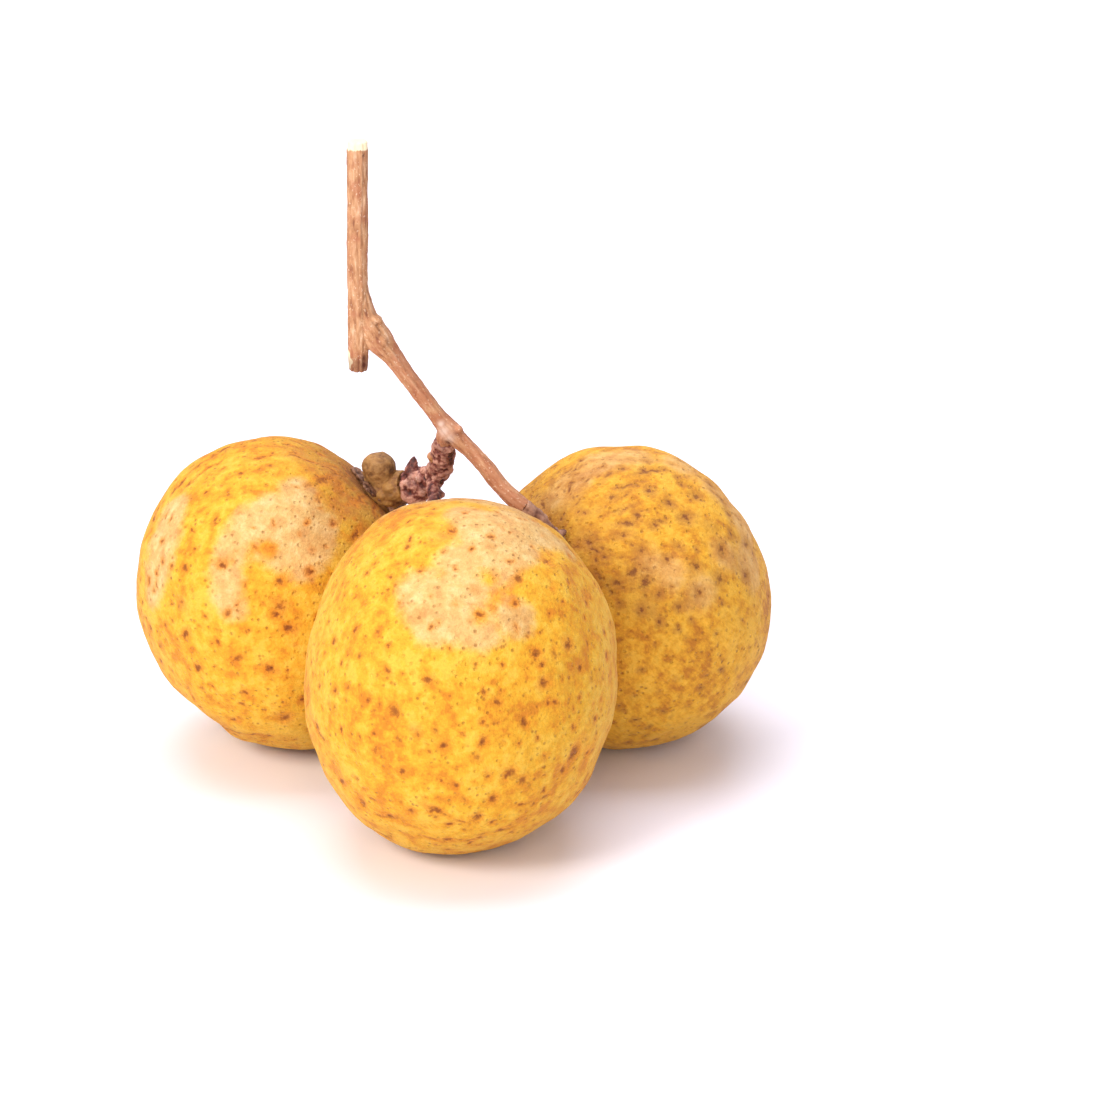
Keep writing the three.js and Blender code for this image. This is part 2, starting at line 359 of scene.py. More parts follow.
def grown_together(parts: Sequence[Surface], cell: float) -> tuple[Surface, Array]:
    """Joins overlapping closed surfaces in one skin of even squares, by a voxel remesh.

    Args:
        parts: The surfaces.
        cell: The side of a square.

    Returns:
        The joined surface, and its edges as pairs of point numbers.
    """
    points = np.concatenate([part.points for part in parts])
    starts = np.cumsum([0, *(len(part.points) for part in parts)])
    faces = [rows + start for part, start in zip(parts, starts) for rows in part.faces]
    rough = new_object("rough", Surface(points, faces), 1.0)
    remesh = rough.modifiers.new("skin", "REMESH")
    remesh.mode = "VOXEL"
    remesh.voxel_size = cell
    ready = rough.evaluated_get(bpy.context.evaluated_depsgraph_get())
    mesh = ready.to_mesh()
    places = np.empty(len(mesh.vertices) * 3, np.float32)
    mesh.vertices.foreach_get("co", places)
    corners = np.empty(len(mesh.loops), np.int32)
    mesh.loops.foreach_get("vertex_index", corners)
    edges = np.empty(len(mesh.edges) * 2, np.int32)
    mesh.edges.foreach_get("vertices", edges)
    ready.to_mesh_clear()
    spare = rough.data
    bpy.data.objects.remove(rough)
    bpy.data.meshes.remove(spare)
    skin = Surface(places.reshape(-1, 3).astype(float), [corners.reshape(-1, 4)])
    return skin.facing_out(), edges.reshape(-1, 2)


def relaxed(points: Array, edges: Array, passes: int) -> Array:
    """Smooths a skin: in each pass a point moves half the way to the mean of its neighbours.

    Args:
        points: The skin's points.
        edges: Its edges, as pairs of point numbers.
        passes: How many times it is smoothed.

    Returns:
        The smoothed points.
    """
    count = np.bincount(edges.ravel(), minlength=len(points))[:, None]
    for _ in range(passes):
        total = np.empty_like(points)
        for axis in range(3):
            there = np.bincount(edges[:, 0], points[edges[:, 1], axis], len(points))
            total[:, axis] = there + np.bincount(edges[:, 1], points[edges[:, 0], axis], len(points))
        points = points + 0.5 * (total / count - points)
    return points


def outward_of(surface: Surface) -> Array:
    """Adds up, at each point, the cross products of its faces' diagonals.

    Args:
        surface: A surface whose faces look outwards.

    Returns:
        The unit direction outwards at each point.
    """
    total = np.zeros_like(surface.points)
    for rows in surface.faces:
        corner = [surface.points[rows[:, k]] for k in range(rows.shape[1])]
        cross = np.cross(corner[2] - corner[0], corner[-1] - corner[1])
        for k in range(rows.shape[1]):
            for axis in range(3):
                total[:, axis] += np.bincount(rows[:, k], cross[:, axis], len(total))
    return unit(total)


def store(piece: bpy.types.Object, name: str, values: Array) -> None:
    """Keeps a number or a vector for each point of a piece, for its material to read.

    Args:
        piece: The piece.
        name: What the material knows them by.
        values: One number or one row of three for each point.
    """
    kind, key = ("FLOAT", "value") if values.ndim == 1 else ("FLOAT_VECTOR", "vector")
    attribute = piece.data.attributes.new(name, kind, "POINT")
    attribute.data.foreach_set(key, values.astype(np.float32).ravel())


def fit(piece: bpy.types.Object, node: str, material: bpy.types.Material) -> None:
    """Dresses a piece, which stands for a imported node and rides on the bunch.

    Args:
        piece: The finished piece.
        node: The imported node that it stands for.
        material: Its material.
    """
    piece.data.materials.append(material)
    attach(piece, BODY)
    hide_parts(node)
    LOG.info("%s stands for %s with %d faces", piece.name, node, len(piece.data.polygons))


# Camera


@dataclass(frozen=True)
class Viewpoint:
    """The photograph's viewpoint, solved from the fruits' outlines."""

    target: Triple = (8.4, 0.35, 21.4)
    distance: float = 520.0
    elevation: float = 21.0
    focal_pixels: float = 6162.0
    sensor: float = 36.0

    def axes(self) -> Array:
        """Works out the camera's own directions from its elevation.

        Returns:
            The directions to the right, up and forward, as rows.
        """
        rise = math.radians(self.elevation)
        right = (1.0, 0.0, 0.0)
        up = (0.0, math.sin(rise), math.cos(rise))
        forward = (0.0, math.cos(rise), -math.sin(rise))
        return np.array([right, up, forward])

    def eye(self) -> Array:
        """The camera's place: the target less the distance along the view."""
        return np.array(self.target) - self.distance * self.axes()[2]

    def rays(self, marks: Array) -> Array:
        """Unit directions from the eye through places in the picture.

        Args:
            marks: N rows of pixels across and down.

        Returns:
            N unit vectors.
        """
        offset = (marks[:, :2] - PICTURE_SIDE / 2) / self.focal_pixels
        right, up, forward = self.axes()
        return unit(forward + offset[:, :1] * right - offset[:, 1:2] * up)

    def at_depth(self, marks: Array, depth: float) -> Array:
        """The places on the plane y = depth that show at some marks of the picture."""
        rays = self.rays(marks)
        return self.eye() + rays * ((depth - self.eye()[1]) / rays[:, 1])[:, None]

    def build(self) -> None:
        """Makes the scene's camera, level and unshifted, with no depth of field."""
        data = bpy.data.cameras.new("camera")
        data.sensor_width = self.sensor
        data.lens = self.focal_pixels * self.sensor / PICTURE_SIDE
        data.clip_start, data.clip_end = 0.02, 20
        camera = bpy.data.objects.new("camera", data)
        camera.location = self.eye() * MM
        camera.rotation_euler = (math.radians(90 - self.elevation), 0, 0)
        bpy.context.scene.collection.objects.link(camera)
        bpy.context.scene.camera = camera


# Materials


@dataclass(frozen=True)
class Cloud:
    """A noise pattern: the width of its largest spots in millimetres, and how finely they break up."""

    width: float
    detail: float
    rough: float

    def settings(self) -> dict[str, float]:
        """The noise texture's own numbers: its scale is spots to the millimetre."""
        return {"Scale": 1 / self.width, "Detail": self.detail, "Roughness": self.rough}


def set_ramp(node: bpy.types.Node, stops: Sequence[tuple[float, str]]) -> None:
    """Gives a colour ramp its stops.

    Args:
        node: The colour ramp.
        stops: The stops in order, each a place from 0 to 1 and an sRGB hex colour.
    """
    elements = node.color_ramp.elements
    while len(elements) < len(stops):
        elements.new(0.5)
    for element, (place, colour) in zip(elements, stops):
        element.position = place
        element.color = linear(colour)


@dataclass
class Coat:
    """The layers of one material: a base colour that later layers are laid over by their masks."""

    name: str
    tree: bpy.types.NodeTree = field(init=False)
    material: bpy.types.Material = field(init=False)
    places: bpy.types.Node = field(init=False)
    colour: Any = None

    def __post_init__(self) -> None:
        """Makes the material and the object coordinates in millimetres that its patterns read."""
        self.material = bpy.data.materials.new(self.name)
        self.material.use_nodes = True
        self.tree = self.material.node_tree
        self.tree.nodes.clear()
        source = self.add("ShaderNodeTexCoord").outputs["Object"]
        self.places = self.add("ShaderNodeMapping", {"Scale": (1 / MM,) * 3}, {"Vector": source})

    def add(
        self,
        kind: str,
        settings: dict[int | str, Any] | None = None,
        links: dict[int | str, Any] | None = None,
    ) -> bpy.types.Node:
        """Adds a node with its settings and links.

        Args:
            kind: The node's Blender type.
            settings: Values for its own properties or, by name or number, for its sockets.
            links: Sources for its sockets, each an output, or a node whose first output is meant.

        Returns:
            The node.
        """
        node = self.tree.nodes.new(kind)
        for key, value in (settings or {}).items():
            if isinstance(key, str) and hasattr(node, key):
                setattr(node, key, value)
            else:
                node.inputs[key].default_value = value
        for key, source in (links or {}).items():
            output = source.outputs[0] if isinstance(source, bpy.types.Node) else source
            self.tree.links.new(output, node.inputs[key])
        return node

    def lay(self, mask: Any, colour: str | Any) -> None:
        """Lays a colour over what is there.

        Args:
            mask: The socket that says how far, from 0 to 1.
            colour: An sRGB hex colour, or the socket that gives one.
        """
        settings: dict[int | str, Any] = {"data_type": "RGBA"}
        links = {0: mask, 6: self.colour}
        if isinstance(colour, str):
            settings[7] = linear(colour)
        else:
            links[7] = colour
        self.colour = self.add("ShaderNodeMix", settings, links).outputs[2]

    def finish(self, surface: dict[str, Any], height: Any, relief: float) -> bpy.types.Material:
        """Ends the material: its surface values, and a bump of the given height in millimetres.

        Args:
            surface: Values for the principled shader's own sockets.
            height: The socket that holds the relief, from 0 to 1.
            relief: The height that 1 stands for.

        Returns:
            The material.
        """
        bump = self.add("ShaderNodeBump", {"Distance": relief * MM}, {"Height": height})
        links = {"Base Color": self.colour, "Normal": bump}
        shader = self.add("ShaderNodeBsdfPrincipled", surface, links)
        self.add("ShaderNodeOutputMaterial", None, {"Surface": shader})
        return self.material


@dataclass(frozen=True)
class Rind:
    """Leathery rind of a ripe longan: matt and faintly velvety, so it shows no sharp highlight.

    The gold varies in soft spots by a ramp. Corky tan bloom stays in patches, up to its cover, with
    an edge as wide as its fade. Each speck is a brown core, as wide as core says, in an orange halo.
    Between the specks there are fine pores. The more fibres, the more the grain runs to the stem end.
    """

    name: str
    ramp: Sequence[tuple[float, str]]
    bloom: Sequence[tuple[float, str]]
    bloom_cover: float
    bloom_fade: float
    fibres: float
    core: float
    halo: str
    speck: str
    pore: str
    stain: str
    stem: str
    # Widths in millimetres, as on a real rind of 25 mm
    mottle: Cloud = Cloud(1.15, 4.0, 0.6)
    broad: Cloud = Cloud(6.0, 2.0, 0.5)
    grain: Cloud = Cloud(0.28, 3.0, 0.75)
    edge: Cloud = Cloud(1.5, 5.0, 0.68)
    coast: Cloud = Cloud(4.2, 3.0, 0.55)
    hair: Cloud = Cloud(0.3, 3.0, 0.6)
    hair_squeeze: float = 0.22
    pore_gap: float = 0.66
    relief: float = 0.13

    def material(self, stalk: Triple) -> bpy.types.Material:
        """Builds the rind: gold, then bloom, stains, halos, specks and pores, all with a fibrous grain.

        Args:
            stalk: The direction of the fruit's stem end, which its fibres run to.

        Returns:
            The material.
        """
        coat = Coat(self.name)
        fields = {
            name: coat.add("ShaderNodeAttribute", {"attribute_name": name}).outputs["Fac"]
            for name in ("speck", "tone", "crest", "bloom", "stain", "stem")
        }
        lean = tuple(Vector(stalk).rotation_difference(Vector((0, 0, 1))).to_euler())
        upright = coat.add("ShaderNodeMapping", {"Rotation": lean}, {"Vector": coat.places})
        along_stem = (1, 1, self.hair_squeeze)
        drawn_out = coat.add("ShaderNodeMapping", {"Scale": along_stem}, {"Vector": upright})
        mottle, broad, grain, edge, coast = (
            coat.add("ShaderNodeTexNoise", cloud.settings(), {"Vector": coat.places})
            for cloud in (self.mottle, self.broad, self.grain, self.edge, self.coast)
        )
        hair = coat.add("ShaderNodeTexNoise", self.hair.settings(), {"Vector": drawn_out})

        # The gold is brighter where broad spots and fibres add up; the crest term paints the lumps' shading,
        # lighter on their crests
        level = mottle
        for source, weight in ((broad, 0.2), (fields["crest"], 0.12), (hair, self.fibres)):
            level = coat.add(
                "ShaderNodeMath", {"operation": "MULTIPLY_ADD", 1: weight}, {0: source, 2: level}
            )
        ramp = coat.add("ShaderNodeValToRGB", None, {0: level})
        set_ramp(ramp, self.ramp)
        coat.colour = ramp.outputs[0]

        # The two noises add about 1.9 to the depth inside a patch, so that is where its shore lies
        shore = fields["bloom"]
        for source, weight in ((edge, 1.5), (coast, 2.2)):
            shore = coat.add(
                "ShaderNodeMath", {"operation": "MULTIPLY_ADD", 1: weight}, {0: source, 2: shore}
            )
        waterline = 1.9
        patch = coat.add(
            "ShaderNodeMapRange",
            {
                "interpolation_type": "SMOOTHSTEP",
                "From Min": waterline - self.bloom_fade,
                "From Max": waterline + self.bloom_fade,
                "To Max": self.bloom_cover,
            },
            {"Value": shore},
        )
        cork = coat.add("ShaderNodeValToRGB", None, {0: mottle})
        set_ramp(cork, self.bloom)
        coat.lay(patch.outputs[0], cork.outputs[0])

        for name, colour, rate in (("stain", self.stain, 0.9), ("stem", self.stem, 2.3)):
            smear = coat.add("ShaderNodeMath", {"operation": "MULTIPLY"}, {0: fields[name], 1: edge})
            smear = coat.add(
                "ShaderNodeMath", {"operation": "MULTIPLY", 1: rate, "use_clamp": True}, {0: smear}
            )
            coat.lay(smear.outputs[0], colour)

        # The speck field is the distance from a speck in its own radii, made ragged by the grain
        ragged = coat.add("ShaderNodeMath", {"operation": "MULTIPLY_ADD", 1: 1.5, 2: -0.75}, {0: grain})
        reach = coat.add("ShaderNodeMath", {"operation": "ADD"}, {0: ragged, 1: fields["speck"]})
        rings = ((self.halo, 3.0, 0.6, 0.85), (self.speck, self.core, 0.3, 0.95))
        for colour, outer, inner, cover in rings:
            ring = coat.add(
                "ShaderNodeMapRange",
                {"interpolation_type": "SMOOTHSTEP", "From Min": outer, "From Max": inner, "To Max": cover},
                {"Value": reach},
            )
            shown = coat.add("ShaderNodeMath", {"operation": "MULTIPLY"}, {0: ring, 1: fields["tone"]})
            coat.lay(shown.outputs[0], colour)

        pore = coat.add("ShaderNodeTexVoronoi", {"Scale": 1 / self.pore_gap}, {"Vector": coat.places})
        pit = coat.add(
            "ShaderNodeMapRange", {"From Min": 0.27, "From Max": 0.09}, {"Value": pore.outputs["Distance"]}
        )
        open_ones = coat.add(
            "ShaderNodeMapRange", {"From Min": 0.42, "From Max": 0.6, "To Max": 0.65}, {"Value": edge}
        )
        pitted = coat.add("ShaderNodeMath", {"operation": "MULTIPLY"}, {0: pit, 1: open_ones})
        coat.lay(pitted.outputs[0], self.pore)

        # The nap darkens and lightens all that lies under it, and stands up in the relief
        nap = coat.add("ShaderNodeMix", {0: self.fibres}, {2: grain, 3: hair})
        dusk = coat.add(
            "ShaderNodeMapRange",
            {"From Min": 0.3, "From Max": 0.7, "To Min": 0.84, "To Max": 1.14},
            {"Value": nap},
        )
        shaded = coat.add(
            "ShaderNodeVectorMath", {"operation": "SCALE"}, {0: coat.colour, "Scale": dusk.outputs[0]}
        )
        coat.colour = shaded.outputs[0]
        height = coat.add("ShaderNodeMath", {"operation": "MULTIPLY_ADD", 1: -0.7}, {0: pit, 2: nap})
        surface = {
            "Roughness": 0.7,
            "IOR": 1.45,
            "Specular IOR Level": 0.25,
            "Sheen Weight": 0.22,
            "Sheen Roughness": 0.4,
            "Sheen Tint": linear("#F6BE8E"),
        }
        return coat.finish(surface, height, self.relief)


# A ripe rind in full colour: clear gold, with wide patches of tan bloom
GOLDEN_RIND = Rind(
    name="golden_longan_rind",
    ramp=((0.48, "#C98020"), (0.58, "#D69724"), (0.69, "#DBA42B"), (0.8, "#E0B03C")),
    bloom=((0.3, "#C5955C"), (0.5, "#D2AC6E"), (0.7, "#DFC18A")),
    bloom_cover=0.88,
    bloom_fade=0.68,
    fibres=0.12,
    core=1.3,
    halo="#CB7B20",
    speck="#7E4217",
    pore="#9A5C24",
    stain="#C08440",
    stem="#84501F",
)
# A rind with more olive in its gold: more fibrous, with larger and softer specks
OLIVE_RIND = Rind(
    name="olive_longan_rind",
    ramp=((0.56, "#B47220"), (0.68, "#CA8C25"), (0.79, "#D89E2B"), (0.9, "#DEA938")),
    bloom=((0.3, "#BC8A50"), (0.5, "#CC9F62"), (0.7, "#D8B27C")),
    bloom_cover=0.7,
    bloom_fade=1.0,
    fibres=0.35,
    core=0.9,
    halo="#A8702C",
    speck="#754422",
    pore="#8A5526",
    stain="#A0692E",
    stem="#7A4C20",
)


@dataclass(frozen=True)
class Bark:
    """Thin dry bark of a young twig: matt and fibrous, with pale flecks, over pale wood.

    Its fibres run along the limb, its lower branch has a red flush, and a cut or a tear shows the
    cream wood under it.
    """

    name: str
    ramp: Sequence[tuple[float, str]]
    fleck: str
    flush: str
    wood: str
    dark: str
    pale: str
    # Widths in millimetres, as on a real twig of 2 mm
    strand: Cloud = Cloud(0.32, 4.0, 0.6)
    cloud: Cloud = Cloud(1.6, 3.0, 0.6)
    crumb: Cloud = Cloud(0.2, 2.0, 0.6)
    relief: float = 0.05

    def material(self) -> bpy.types.Material:
        """Builds the bark: drawn-out fibres, a red flush, pale flecks, bare wood, and dark scars with some
        painted shade.

        Returns:
            The material.
        """
        coat = Coat(self.name)
        fields = {
            name: coat.add("ShaderNodeAttribute", {"attribute_name": name}).outputs["Fac"]
            for name in ("bare", "scar", "pale", "blush")
        }
        fibre = coat.add("ShaderNodeAttribute", {"attribute_name": "fibre"}).outputs["Vector"]
        strand = coat.add("ShaderNodeTexNoise", self.strand.settings(), {"Vector": fibre})
        cloud, crumb = (
            coat.add("ShaderNodeTexNoise", pattern.settings(), {"Vector": coat.places})
            for pattern in (self.cloud, self.crumb)
        )
        ramp = coat.add("ShaderNodeValToRGB", None, {0: strand})
        set_ramp(ramp, self.ramp)
        coat.colour = ramp.outputs[0]
        redness = coat.add(
            "ShaderNodeMath", {"operation": "MULTIPLY_ADD", 1: 0.14}, {0: fields["blush"], 2: cloud}
        )
        flushed = coat.add(
            "ShaderNodeMapRange",
            {"interpolation_type": "SMOOTHSTEP", "From Min": 0.45, "From Max": 0.7, "To Max": 0.55},
            {"Value": redness},
        )
        coat.lay(flushed.outputs[0], self.flush)
        flecked = coat.add(
            "ShaderNodeMapRange", {"From Min": 0.62, "From Max": 0.72, "To Max": 0.7}, {"Value": crumb}
        )
        coat.lay(flecked.outputs[0], self.fleck)
        coat.lay(fields["pale"], self.pale)
        ragged = coat.add(
            "ShaderNodeMath", {"operation": "MULTIPLY_ADD", 1: 0.5}, {0: strand, 2: fields["bare"]}
        )
        open_wood = coat.add(
            "ShaderNodeMapRange",
            {"interpolation_type": "SMOOTHSTEP", "From Min": 0.2, "From Max": 0.32},
            {"Value": ragged},
        )
        coat.lay(open_wood.outputs[0], self.wood)
        # The scar field's dark holds real scars and, on the stub's right side, painted shade
        coat.lay(fields["scar"], self.dark)
        height = coat.add("ShaderNodeMath", {"operation": "MULTIPLY_ADD", 1: 0.5}, {0: crumb, 2: strand})
        surface = {"Roughness": 0.78, "IOR": 1.5, "Specular IOR Level": 0.35}
        return coat.finish(surface, height, self.relief)


# Bark of the picked twig: tan and dry, redder and browner along the slanting branch
TWIG_BARK = Bark(
    name="dry_tan_bark",
    ramp=((0.28, "#80503A"), (0.42, "#AC7A54"), (0.55, "#C0916A"), (0.72, "#D8B392")),
    fleck="#E8CDB0",
    flush="#A8664A",
    wood="#F2E4BE",
    dark="#5A2E20",
    pale="#E4CFC2",
)


@dataclass(frozen=True)
class Scurf:
    """Rough dry skin, such as a scaly spur or a shrivelled fruitlet: painted shade in dark hollows, painted
    highlights on pale crests.

    The cloud says how far dark patches cover it, and a live bud on it has a colour of its own.
    """

    name: str
    hollow: str
    body: str
    crest: str
    glint: str
    grain: float
    roughness: float
    relief: float
    cloud: float = 0.3
    bud: str = "#C08A56"
    patches: Cloud = Cloud(1.1, 3.0, 0.6)

    def material(self) -> bpy.types.Material:
        """Builds the skin: a colour by how proud a point stands, as painted shade and highlight, clouded,
        with painted glints and live buds.

        Returns:
            The material.
        """
        coat = Coat(self.name)
        proud, bud = (
            coat.add("ShaderNodeAttribute", {"attribute_name": name}).outputs["Fac"]
            for name in ("proud", "bud")
        )
        cloud, grit = (
            coat.add("ShaderNodeTexNoise", pattern.settings(), {"Vector": coat.places})
            for pattern in (self.patches, Cloud(self.grain, 3.0, 0.65))
        )
        # Dark in the hollows and pale on proud points: painted shade and painted highlights by height
        level = coat.add("ShaderNodeMath", {"operation": "MULTIPLY_ADD", 1: 0.6}, {0: grit, 2: proud})
        ramp = coat.add("ShaderNodeValToRGB", None, {0: level})
        set_ramp(ramp, ((0.22, self.hollow), (0.5, self.body), (0.86, self.crest)))
        coat.colour = ramp.outputs[0]
        clouded = coat.add(
            "ShaderNodeMapRange", {"From Min": 0.45, "From Max": 0.7, "To Max": self.cloud}, {"Value": cloud}
        )
        coat.lay(clouded.outputs[0], self.hollow)
        # Glints are painted highlights on the proudest grit
        lit = coat.add("ShaderNodeMath", {"operation": "MULTIPLY"}, {0: proud, 1: grit})
        shine = coat.add(
            "ShaderNodeMapRange", {"From Min": 0.42, "From Max": 0.6, "To Max": 0.8}, {"Value": lit}
        )
        coat.lay(shine.outputs[0], self.glint)
        coat.lay(bud, self.bud)
        surface = {"Roughness": self.roughness, "IOR": 1.5, "Specular IOR Level": 0.45}
        return coat.finish(surface, grit, self.relief)


# Dry bud scales packed round a fruiting spur: dark red-brown, with painted shade between the scales and
# painted highlights on their edges
SPUR_BARK = Scurf(
    name="dark_scaly_bark",
    hollow="#2C1014",
    body="#7A4036",
    crest="#C4907C",
    glint="#EBD0C4",
    grain=0.2,
    roughness=0.55,
    relief=0.08,
    cloud=0.5,
)
# Fleshy skin of a stem end, gone dull and wrinkled: olive brown, with no shine, and with painted shade and
# highlights on its wrinkles
NECK_SKIN = Scurf(
    name="olive_neck_skin",
    hollow="#45260F",
    body="#80542A",
    crest="#A0743A",
    glint="#B88E4A",
    grain=0.25,
    roughness=0.65,
    relief=0.07,
    cloud=0.45,
)
# Rind of a fruit that never grew, tight and warty: an even dull brown, with painted shade and highlights on
# its warts
FRUITLET_SKIN = Scurf(
    name="rough_fruitlet_skin",
    hollow="#4E3319",
    body="#7E562C",
    crest="#A07642",
    glint="#BA945C",
    grain=0.22,
    roughness=0.7,
    relief=0.08,
)
# Bark torn along a stalk: dark strands, with painted highlights on their proud edges and painted shade
# between them
TORN_BARK = Scurf(
    name="torn_stalk_bark",
    hollow="#3C2018",
    body="#734A38",
    crest="#A87E66",
    glint="#D4B49C",
    grain=0.28,
    roughness=0.75,
    relief=0.06,
)
# Sepals dried to paper: brown, with whitish painted glints on their proud rims
CALYX_SKIN = Scurf(
    name="papery_dry_calyx",
    hollow="#301C14",
    body="#5E3B28",
    crest="#8A6248",
    glint="#DCCFC4",
    grain=0.2,
    roughness=0.6,
    relief=0.06,
)


# Fruits


class Cover(Enum):
    """Whether a round spot adds bloom to the rind or wipes it off."""

    BLOOM = 1
    WIPED = -1


@dataclass(frozen=True)
class Swell:
    """A broad rise of a fruit's form, or a dent if its height is negative."""

    toward: Triple
    height: float
    spread: float


# The lumps' sets, each with a pitch, a height and a number of waves
LUMPS = ((12.0, 0.12, 5), (5.5, 0.06, 9), (3.6, 0.04, 11))
# The height and the spread of the dent at the stem end and of the rise opposite it
SHOULDER = (-0.5, 0.42)
TIP = (0.25, 0.25)
# How softly spots of bloom merge, and how far bloom and the fine crests rise
BLOOM_BLEND = 0.35
BLOOM_RISE = 0.03
CREST_RISE = 0.06
# A speck's outline is shaken, and its dimple is as deep and wide as these shares of its radius
SHAKE = 0.2
SHAKE_PITCH = 0.8
DIMPLE_DEPTH = 0.34
DIMPLE_SPREAD = 1.3
# The brown of the stem end spreads by this angle from the stalk, in radians
STEM_SPREAD = 0.55
# Scattered specks: how far they stray from even places, the natural logarithm of a usual radius and
# its spread, a radius's bounds, its upper bound where the large ones are named, and the gap to those
SPECK_STRAY = 0.07
SPECK_LOGARITHM = (-1.75, 0.45)
SPECK_BOUNDS = (0.09, 0.45)
SMALL_SPECK = 0.2
NAMED_GAP = 0.8
# Cracks: the step along a streak, how far each strays from it, the band round the stem end in
# radians, and their radii
CRACK_STEP = 0.8
CRACK_STRAY = 0.12
STEM_BAND = (0.16, 0.75)
CRACK_RADII = (0.12, 0.24)
CRACK_SQUEEZE = 0.93
# Patches on the hidden side: the way they lie, the spots of each, and the spots' spread and radii
HIDDEN_SIDE = (0, 1.6, 0.2)
HIDDEN_SPOTS = 4
HIDDEN_SPREAD = 1.3
HIDDEN_RADII = (1.6, 3.0)


@dataclass(frozen=True)
class Pits:
    """Specks and cracks of a rind, a row for each.

    They have a middle, a radius, a way that each is drawn out in, how far it is, and how dark it is.
    """

    middles: Array
    sizes: Array
    ways: Array
    squeezes: Array
    tones: Array


